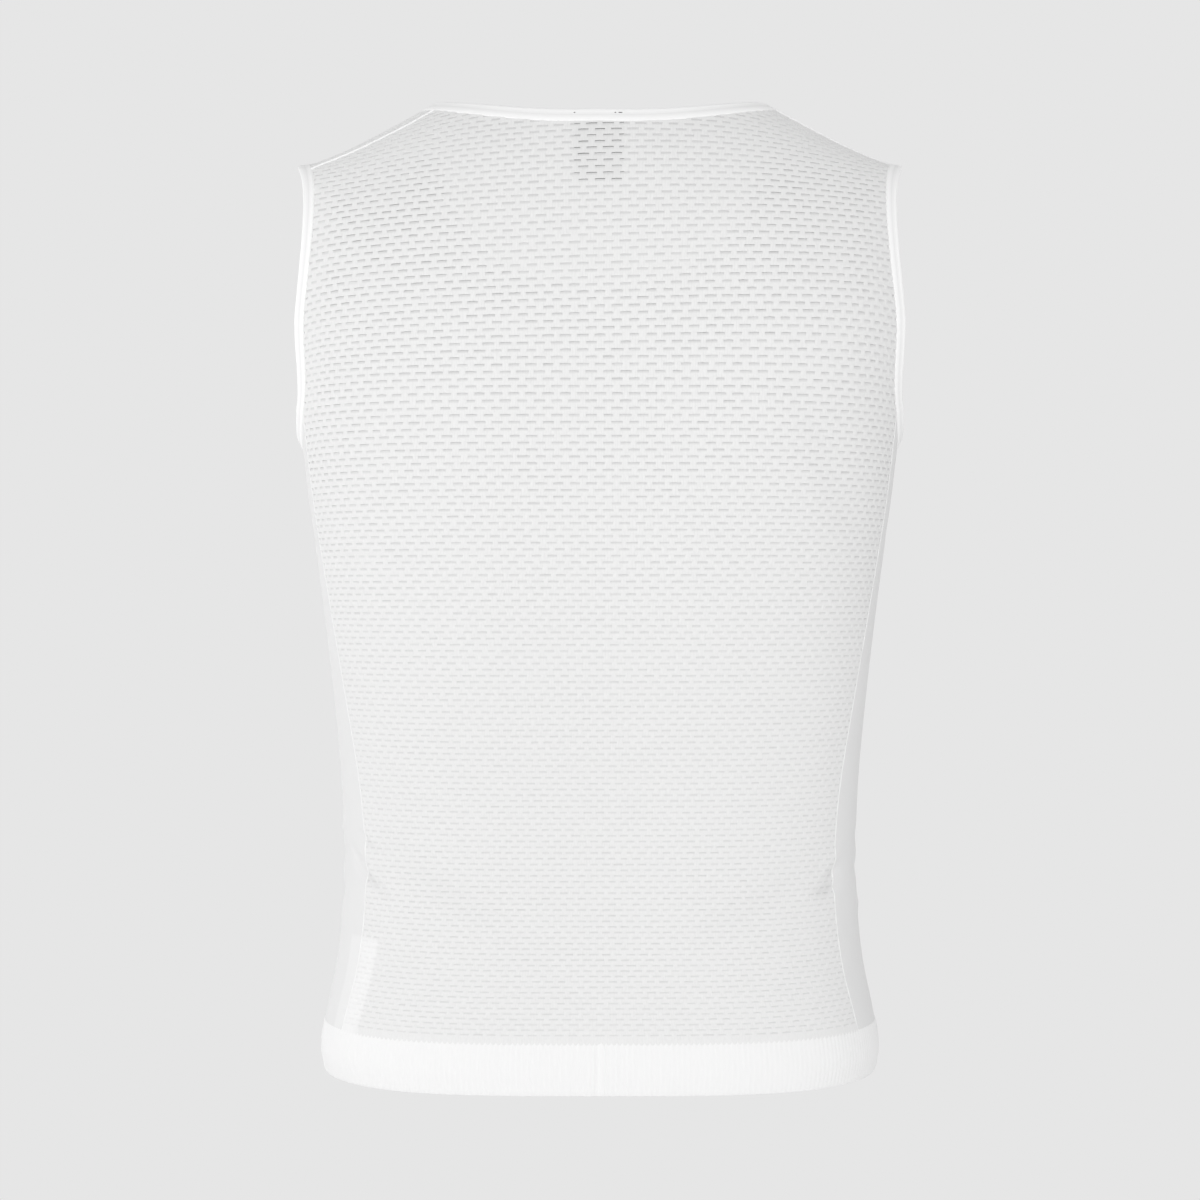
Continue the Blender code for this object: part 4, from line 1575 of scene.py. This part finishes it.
@dataclass
class Binding:
    """A smooth folded binding round an opening, stitched down its middle."""

    form: TorsoForm
    finishes: Finishes
    name: str
    node: str
    seam: Array
    width: float
    flare: float = 0.0
    flare_lost: float = 0.6
    wall: float = 0.0018
    proud: float = 0.0006
    lap: float = 0.0008
    groove: float = 0.00045
    groove_width: float = 0.0005
    sides: int = 24
    pitch: float = 0.0026
    flatness: tuple[float, float] = (0.55, 0.75)
    stitch: tuple[float, float, float] = (0.36, 0.00028, 0.00022)
    stitch_rise: float = 0.00005
    tack: tuple[float, float] = (0.0003, 0.0002)
    tack_across: float = 0.62

    def __post_init__(self) -> None:
        """Finds the binding's own directions along its seam."""
        loop = self.seam[:-1]
        along = unit(np.roll(loop, -1, axis=0) - np.roll(loop, 1, axis=0))
        out = self.form.normals(loop)
        across = unit(np.cross(out, along))
        inward = np.einsum("ij,ij->i", across, loop.mean(axis=0) - loop)
        across *= np.where(inward < 0, -1.0, 1.0)[:, None]
        lift = self.flare * (1 - self.flare_lost * np.maximum(0.0, out[:, 2]))[:, None]
        tilted = across * np.cos(lift) + out * np.sin(lift)
        raised = out * np.cos(lift) - across * np.sin(lift)
        self.loop = closed(loop)
        self.out = closed(raised)
        self.across = closed(tilted)
        self.along = closed(along)
        self.run = arc_lengths(self.loop)

    def at(self, share: Array, rows: Array) -> Array:
        """Rows along the loop at shares of its length."""
        return read_along(share * self.run[-1], self.run, rows)

    def dip(self, across: Array) -> Array:
        """How near to the bottom of the groove a place across the binding is, from 0 to 1."""
        return np.exp(-(((across - self.width / 2) / self.groove_width) ** 2))

    def profile(self, angle: Array) -> tuple[Array, Array]:
        """(across, out) round the binding's section, with a groove down its middle.

        Args:
            angle: Angles, in radians.

        Returns:
            The two lengths at each angle.
        """
        wide = np.sign(np.cos(angle)) * np.abs(np.cos(angle)) ** self.flatness[0]
        tall = np.sign(np.sin(angle)) * np.abs(np.sin(angle)) ** self.flatness[1]
        reach = (self.width + self.lap) / 2
        across = reach * wide + (self.width - self.lap) / 2
        dent = self.groove * self.dip(across)
        half = self.wall / 2
        return across, self.proud - half + np.sign(tall) * (half * np.abs(tall) - dent)

    def place(self, along: Array, round_it: Array) -> tuple[Array, Array]:
        """Where the binding's points lie, and their UVs in metres.

        Args:
            along: Shares along.
            round_it: Shares round its section.

        Returns:
            The points and the UVs.
        """
        reach, rise = self.profile(round_it * 2 * math.pi)
        points = self.at(along, self.loop) + self.at(along, self.across) * reach[:, None]
        points = points + self.at(along, self.out) * rise[:, None]
        return points, np.stack([round_it * 2 * self.width, along * self.run[-1]], axis=1)

    def build(self) -> bpy.types.Object:
        """Builds the binding.

        Returns:
            The piece.
        """
        work = laid_grid(len(self.loop) - 1, self.sides, self.place, merge=1e-6)
        # Painted shade down the middle groove
        shade_and_label_tone = work.verts.layers.float.new("shade_and_label_tone")
        layer = work.loops.layers.uv["cloth"]
        for face in work.faces:
            for loop in face.loops:
                across = self.profile(loop[layer].uv.x / self.width * math.pi)[0]
                loop.vert[shade_and_label_tone] = self.dip(across)
        piece = object_of(self.name, work, SHARP_TRIM)
        self.finishes.dress(piece, "binding_cloth", Slot.BINDING)
        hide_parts(self.node)
        return piece

    def sewn(self, middles: Array, axes: Array, sizes: list[tuple[float, ...]]) -> bmesh.types.BMesh:
        """Small round stitches, one a row.

        Args:
            middles: Where each stitch's middle lies.
            axes: Each stitch's own three directions.
            sizes: Half of each stitch's size in those directions.

        Returns:
            The stitches as a bmesh with a UV map.
        """
        work = bmesh.new()
        for middle, turn, size in zip(middles, axes, sizes):
            placed = Matrix.Translation(Vector(middle)) @ Matrix(turn).transposed().to_4x4()
            placed = placed @ Matrix.Diagonal((*size, 1.0))
            bmesh.ops.create_icosphere(work, subdivisions=1, radius=1.0, matrix=placed)
        give_chart(work, np.array([vert.co.xz for vert in work.verts]))
        bmesh.ops.recalc_face_normals(work, faces=work.faces)
        return work

    def stitching(self) -> bpy.types.Object:
        """Builds the line of stitches sunk into the binding's groove.

        Returns:
            The stitches, as one piece.
        """
        count = round(self.run[-1] / self.pitch)
        share = (np.arange(count) + 0.5) / count
        across = self.at(share, self.across)
        out = self.at(share, self.out)
        top = self.proud - self.groove + self.stitch_rise
        middles = self.at(share, self.loop) + across * self.width / 2 + out * top
        axes = np.stack([self.at(share, self.along), across, out], axis=1)
        size = (self.pitch * self.stitch[0], *self.stitch[1:])
        piece = object_of(f"{self.name}_stitches", self.sewn(middles, axes, [size] * count), SHARP_TRIM)
        self.finishes.dress(piece, "seam_thread", Slot.BINDING)
        return piece

    def tacks(self, places: tuple[tuple[float, float], ...]) -> bpy.types.Object:
        """Builds the few dark stitches of the label's thread that come through the binding.

        Args:
            places: How far left of the middle each is, and half of its length.

        Returns:
            The stitches, as one piece.
        """
        back = np.flatnonzero(self.loop[:, 1] > 0)
        found = [back[np.argmin(np.abs(self.loop[back, 0] - x))] for x, _ in places]
        across = self.across[found]
        out = self.out[found]
        middles = self.loop[found] + across * self.width * self.tack_across + out * self.proud
        axes = np.stack([self.along[found], across, out], axis=1)
        sizes = [(half, *self.tack) for _, half in places]
        piece = object_of("label_tacks", self.sewn(middles, axes, sizes), SHARP_TRIM)
        self.finishes.dress(piece, "dark_thread", Slot.NECK_LABEL)
        return piece


@dataclass
class SeamCord:
    """A thin raised seam that runs along a line on the form."""

    form: TorsoForm
    creases: Creases
    finishes: Finishes
    name: str
    line: Array
    half_width: float = 0.00045
    height: float = 0.00030
    sides: int = 10
    bead: float = 0.10
    bead_pitch: float = 0.0016
    unrolled: float = 0.0005

    def place(self, along: Array, round_it: Array) -> tuple[Array, Array]:
        """Where the seam's points lie, and their UVs in metres.

        Args:
            along: Shares along.
            round_it: Shares round its section.

        Returns:
            The points and the UVs.
        """
        run = arc_lengths(self.line)
        step = unit(np.gradient(self.line, axis=0))
        out = self.form.normals(self.line)
        base = self.line - out * self.creases.depth(self.line)[:, None]
        across = np.cross(out, step)
        where = along * run[-1]
        angle = round_it * 2 * math.pi
        fat = 1 + self.bead * np.sin(where * 2 * math.pi / self.bead_pitch)
        wide = (np.cos(angle) * self.half_width * fat)[:, None]
        tall = (np.sin(angle) * self.height * fat)[:, None]
        points = read_along(where, run, base) + read_along(where, run, across) * wide
        points = points + read_along(where, run, out) * tall
        return points, np.stack([angle * self.unrolled, where], axis=1)

    def build(self) -> bpy.types.Object:
        """Builds the seam.

        Returns:
            The piece.
        """
        work = laid_grid(len(self.line) - 1, self.sides, self.place, merge=1e-7)
        piece = object_of(self.name, work, SHARP_TRIM)
        self.finishes.dress(piece, "seam_thread", Slot.PLAIN)
        return piece


@dataclass(frozen=True)
class ShoulderTape:
    """The line of stitching that holds each shoulder seam's tape down, behind the seam.

    Each row is how far out from the middle and how far back the line runs, on the left. On the
    right it lies nearer to the seam, because the garment hangs a little turned.
    """

    form: TorsoForm
    side: int
    places: tuple[tuple[float, float], ...] = (
        (0.0960, 0.0475),
        (0.1137, 0.0480),
        (0.1260, 0.0445),
        (0.1380, 0.0410),
        (0.1505, 0.0360),
        (0.1630, 0.0290),
        (0.1765, 0.0226),
    )
    turned: float = 0.016
    steps: int = 90
    eased: int = 6

    def line(self) -> Array:
        """The points of the line.

        Returns:
            One row a point.
        """
        out, back = np.array(self.places).T
        x = np.linspace(out[0], out[-1], self.steps)
        y = np.interp(x, out, back)
        span = 2 * self.eased + 1
        y = np.convolve(np.pad(y, self.eased, mode="edge"), np.ones(span) / span, mode="valid")
        y = y - (0.0 if self.side > 0 else self.turned)
        on_cloth = y > self.form.back_neck_y(x)
        return self.form.over(self.side * x[on_cloth], y[on_cloth])


@dataclass
class Tape:
    """A plain label of folded tape, with nothing on it."""

    form: TorsoForm
    finishes: Finishes
    name: str
    node: str
    cloth: str
    slot: Slot
    place: Place
    wall: float
    columns: int = 16
    rows: int = 30

    def build(self) -> bpy.types.Object:
        """Builds the label.

        Returns:
            The piece.
        """
        work = laid_grid(self.columns, self.rows, self.place)
        piece = object_of(self.name, work)
        self.finishes.dress(piece, self.cloth, self.slot)
        wall = piece.modifiers.new("wall", "SOLIDIFY")
        wall.thickness = self.wall
        wall.offset = 0.0
        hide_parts(self.node)
        return piece


@dataclass(frozen=True)
class NeckLabelPlace:
    """Where the neck label hangs, inside the back under the neck binding."""

    form: TorsoForm
    middle: float = 0.0005
    width: float = 0.0290
    length: float = 0.0440
    tuck: float = 0.0040
    inside: float = 0.0025
    over_seam: float = 0.05
    steps: int = 400

    def behind(self, points: Array, reach: float) -> Array:
        """How much of the label lies right behind some points, from 0 to 1.

        Args:
            points: One row a point.
            reach: Over what length its edge fades.

        Returns:
            One share a point.
        """
        across = edge_mask(self.width / 2 - np.abs(points[:, 0] - self.middle), reach)
        lowest = self(np.array([0.5]), np.array([0.0]))[0][0, 2]
        return across * edge_mask(points[:, 2] - lowest, reach) * (points[:, 1] > 0)

    def __call__(self, across: Array, up: Array) -> tuple[Array, Array]:
        """Where the label's points lie, and their UVs in metres.

        Args:
            across: Shares across.
            up: Shares up.

        Returns:
            The points and the UVs.
        """
        x = self.middle + self.width * (0.5 - across)
        start = self.form.turn_of(self.form.over(x, self.form.back_neck_y(x)))
        turns = np.linspace(0.0, 1.0, self.steps)
        points = np.empty((len(x), 3))
        run = self.length * (1 - up) - self.tuck
        for k, value in enumerate(x):
            turn = start[k] * (1 + self.over_seam - turns)
            wale = self.form.over_shoulder(np.full_like(turn, value), turn)
            length = arc_lengths(wale)
            zero = np.interp(self.over_seam * start[k], start[k] * turns, length)
            points[k] = read_along(zero + run[k], length, wale)
        points = points - self.form.normals(points) * self.inside
        return points, np.stack([x, points[:, 2]], axis=1)


@dataclass(frozen=True)
class CareLabelPlace:
    """Where the care label lies, inside the left side seam above the hem."""

    form: TorsoForm
    top: float = -0.4855
    bottom: float = -0.548
    width: float = 0.030
    inside: float = 0.0029
    step: float = 0.002
    least_y: float = 0.001
    steps: int = 900

    def behind(self, points: Array, reach: float) -> Array:
        """How much of the label lies right behind some points, from 0 to 1.

        Args:
            points: Points on the form.
            reach: Over what length its edge fades.

        Returns:
            One share a point.
        """
        seam_y = self.form.side_seam_y(points[:, 2], False)
        near = self.form.breadth(np.maximum(seam_y - self.step, self.least_y), points[:, 2])
        far = self.form.breadth(seam_y + self.step, points[:, 2])
        slope = np.hypot(2 * self.step, near - far) / (2 * self.step)
        away = np.abs(points[:, 1] - seam_y) * slope
        across = edge_mask(self.width / 2 - away, reach)
        low = edge_mask(points[:, 2] - self.bottom, reach)
        high = edge_mask(self.top - points[:, 2], reach)
        return across * low * high * (points[:, 0] > 0) * (points[:, 1] > 0)

    def __call__(self, across: Array, up: Array) -> tuple[Array, Array]:
        """Where the label's points lie, and their UVs in metres.

        Args:
            across: Shares across.
            up: Shares up.

        Returns:
            The points and the UVs.
        """
        height = self.bottom + (self.top - self.bottom) * up
        angle = np.linspace(0.0, math.pi / 2, self.steps)
        points = np.empty((len(across), 3))
        for k, z in enumerate(height):
            ring = self.form.ring(angle, np.full_like(angle, z))
            run = arc_lengths(ring)
            seam = np.interp(float(self.form.side_seam_y(np.array(z), False)), ring[:, 1], run)
            points[k] = read_along(seam + self.width * (across[k] - 0.5), run, ring)
        points = points - self.form.normals(points) * self.inside
        return points, np.stack([across * self.width, height], axis=1)


@dataclass(frozen=True)
class SoftBox:
    """A square soft light: its place, the length of its side and its power in watts."""

    name: str
    place: tuple[float, float, float]
    size: float
    watts: float

    def build(self, aim: Vector) -> None:
        """Sets the light up, pointed at aim.

        Args:
            aim: What it points at.
        """
        light = bpy.data.lights.new(self.name, "AREA")
        light.shape = "SQUARE"
        light.size = self.size
        light.energy = self.watts
        made = bpy.data.objects.new(self.name, light)
        made.location = self.place
        made.rotation_mode = "QUATERNION"
        made.rotation_quaternion = (aim - Vector(self.place)).to_track_quat("-Z", "Y")
        made.visible_camera = False
        bpy.context.scene.collection.objects.link(made)


@dataclass(frozen=True)
class Studio:
    """The pale floor and backdrop, the soft lights and the camera."""

    floor_height: float = -0.72
    floor_radius: float = 9.0
    floor_fill: float = 0.675
    ceiling_height: float = 0.9
    ceiling_radius: float = 1.3
    ceiling_fill: float = 0.61
    room_fill: float = 0.682
    pale: float = 0.791
    disc_sides: int = 64
    focal_length: float = 80.49
    sensor_width: float = 36.0
    camera_place: tuple[float, float, float] = (0.0, 1.65, -0.285)
    aim: tuple[float, float, float] = (0.0, 0.05, -0.30)
    soft_boxes: tuple[SoftBox, ...] = (
        SoftBox("camera_soft_box", (-0.3, 2.6, -0.8), 2.0, 58.0),
        SoftBox("left_soft_box", (2.4, 0.5, -0.45), 1.4, 17.0),
        SoftBox("far_left_soft_box", (2.0, -1.2, -0.3), 1.6, 12.5),
        SoftBox("right_soft_box", (-2.2, 0.9, -0.4), 1.6, 2.3),
    )

    def pale_emission(self, name: str, fill: float) -> bpy.types.Material:
        """An even pale surface that shines a little less on the cloth than it shows.

        Args:
            name: Its name.
            fill: How much it shines on the cloth.

        Returns:
            The material.
        """
        made = bpy.data.materials.new(f"{name}_paper")
        made.use_nodes = True
        tree = made.node_tree
        make = Node(tree)
        shader = tree.nodes["Principled BSDF"]
        shader.inputs["Base Color"].default_value = (*grey(0.0), 1.0)
        shader.inputs["Specular IOR Level"].default_value = 0.0
        shader.inputs["Emission Color"].default_value = (*grey(1.0), 1.0)
        make.put(shader.inputs["Emission Strength"], make.by_ray(self.pale, fill))
        return made

    def disc(self, name: str, height: float, radius: float, fill: float) -> bpy.types.Object:
        """A level round sheet of paper that lights the cloth by fill.

        Args:
            name: The object's name.
            height: Where it lies.
            radius: Half of its breadth.
            fill: How much it shines on the cloth.

        Returns:
            The sheet, marked as part of the stage.
        """
        work = bmesh.new()
        bmesh.ops.create_circle(work, cap_ends=True, segments=self.disc_sides, radius=radius)
        bmesh.ops.translate(work, vec=(0.0, 0.0, height), verts=work.verts)
        mesh = bpy.data.meshes.new(name)
        work.to_mesh(mesh)
        work.free()
        mesh.materials.append(self.pale_emission(name, fill))
        sheet = bpy.data.objects.new(name, mesh)
        bpy.context.scene.collection.objects.link(sheet)
        return sheet

    def stage(self) -> None:
        """The floor, a dimmer ceiling out of sight, and a world of the same pale grey."""
        self.disc("floor", self.floor_height, self.floor_radius, self.floor_fill)
        ceiling = self.disc("ceiling", self.ceiling_height, self.ceiling_radius, self.ceiling_fill)
        ceiling.visible_camera = False
        world = bpy.data.worlds.new("pale_room")
        bpy.context.scene.world = world
        world.use_nodes = True
        make = Node(world.node_tree)
        ground = world.node_tree.nodes["Background"]
        ground.inputs["Color"].default_value = (*grey(1.0), 1.0)
        make.put(ground.inputs["Strength"], make.by_ray(self.pale, self.room_fill))

    def lights(self) -> None:
        """The soft boxes round the garment, the broadest beside the camera."""
        for soft_box in self.soft_boxes:
            soft_box.build(Vector(self.aim))

    def camera(self) -> None:
        """The camera, level with the middle of the garment, behind it."""
        lens = bpy.data.cameras.new("camera")
        lens.lens = self.focal_length
        lens.sensor_width = self.sensor_width
        made = bpy.data.objects.new("camera", lens)
        made.location = self.camera_place
        made.rotation_euler = (math.pi / 2, 0.0, math.pi)
        bpy.context.scene.collection.objects.link(made)
        bpy.context.scene.camera = made

    def build(self) -> None:
        """Sets up the stage, the lights and the camera."""
        self.stage()
        self.lights()
        self.camera()
        bpy.context.scene.view_settings.view_transform = "Standard"


@dataclass
class Garment:
    """The whole garment, built piece by piece from the mesh panels to the labels."""

    form: TorsoForm
    creases: Creases
    finishes: Finishes
    sides: tuple[tuple[int, str], ...] = ((1, "left"), (-1, "right"))
    armhole_steps: int = 420
    neck_steps: int = 520
    side_seam_steps: int = 260
    shoulder_seam_steps: int = 70
    armhole_width: float = 0.0072
    armhole_flare: float = 0.37
    neck_width: float = 0.0085
    tape_line: float = 0.0008
    label_wall: float = 0.0009
    tack_places: tuple[tuple[float, float], ...] = ((0.0148, 0.0006), (-0.0097, 0.0006), (-0.0126, 0.0014))

    def panels(self) -> None:
        """Builds the back and the front."""
        back = MeshPanel(self.form, self.creases, self.finishes, front=False).build()
        front = MeshPanel(self.form, self.creases, self.finishes, front=True).build()

    def seam(self, name: str, line: Array, *sizes: float) -> None:
        """Builds one raised seam along a line."""
        SeamCord(self.form, self.creases, self.finishes, name, line, *sizes).build()

    def flank(self, side: int, word: str) -> None:
        """Builds one side's strip, armhole binding and seams.

        Args:
            side: 1 for the left and -1 for the right.
            word: The side's name.
        """
        form = self.form
        strip = SidePanel(form, self.creases, self.finishes, side).build()
        names = (f"armhole_trim_{word}", f"armhole_binding_{word}")
        line = form.armhole_seam(side, 0.0, 2 * math.pi, self.armhole_steps)
        binding = Binding(form, self.finishes, *names, line, self.armhole_width, self.armhole_flare)
        trim = binding.build()
        stitches = binding.stitching()
        for where, ahead in (("back", False), ("front", True)):
            line = form.side_seam(side, ahead, self.side_seam_steps)
            self.seam(f"side_seam_{where}_{word}", line)
        self.seam(f"shoulder_seam_{word}", form.shoulder_seam(side, self.shoulder_seam_steps))

    def neck(self) -> None:
        """Builds the neck binding, with its stitches and the label's few dark ones."""
        line = self.form.neck_seam(self.neck_steps)
        neck = Binding(self.form, self.finishes, "neck_trim", "neck_binding", line, self.neck_width)
        neck_trim = neck.build()
        neck.tacks(self.tack_places)
        neck.stitching()

    def label(self, name: str, slot: Slot, cloth: str, place: Place) -> bpy.types.Object:
        """Builds one label, whose node is named as its slot is."""
        node = slot.value
        return Tape(self.form, self.finishes, name, node, cloth, slot, place, self.label_wall).build()

    def tape_lines(self) -> None:
        """Builds the line of stitching behind each shoulder seam."""
        for side, word in self.sides:
            line = ShoulderTape(self.form, side).line()
            self.seam(f"shoulder_tape_line_{word}", line, self.tape_line, self.tape_line)

    def hem(self) -> None:
        """Builds the hem band."""
        hem = HemBand(self.form, self.creases, self.finishes).build()

    def labels(self) -> None:
        """Builds both labels."""
        neck_label = self.label("neck_tape", Slot.NECK_LABEL, "label_cloth", NeckLabelPlace(self.form))
        care_label = self.label("care_tape", Slot.CARE_LABEL, "care_cloth", CareLabelPlace(self.form))


def main() -> None:
    """Builds the studio and every piece in order."""
    logging.basicConfig(level=logging.INFO, format="%(name)s: %(message)s")
    form = TorsoForm()
    creases = Creases(form, CREASES)
    finishes = Finishes()
    Studio().build()

    garment = Garment(form, creases, finishes)
    garment.panels()
    for side, word in garment.sides:
        garment.flank(side, word)
    garment.tape_lines()
    garment.neck()
    garment.hem()
    garment.labels()


if __name__ == "__main__":
    main()
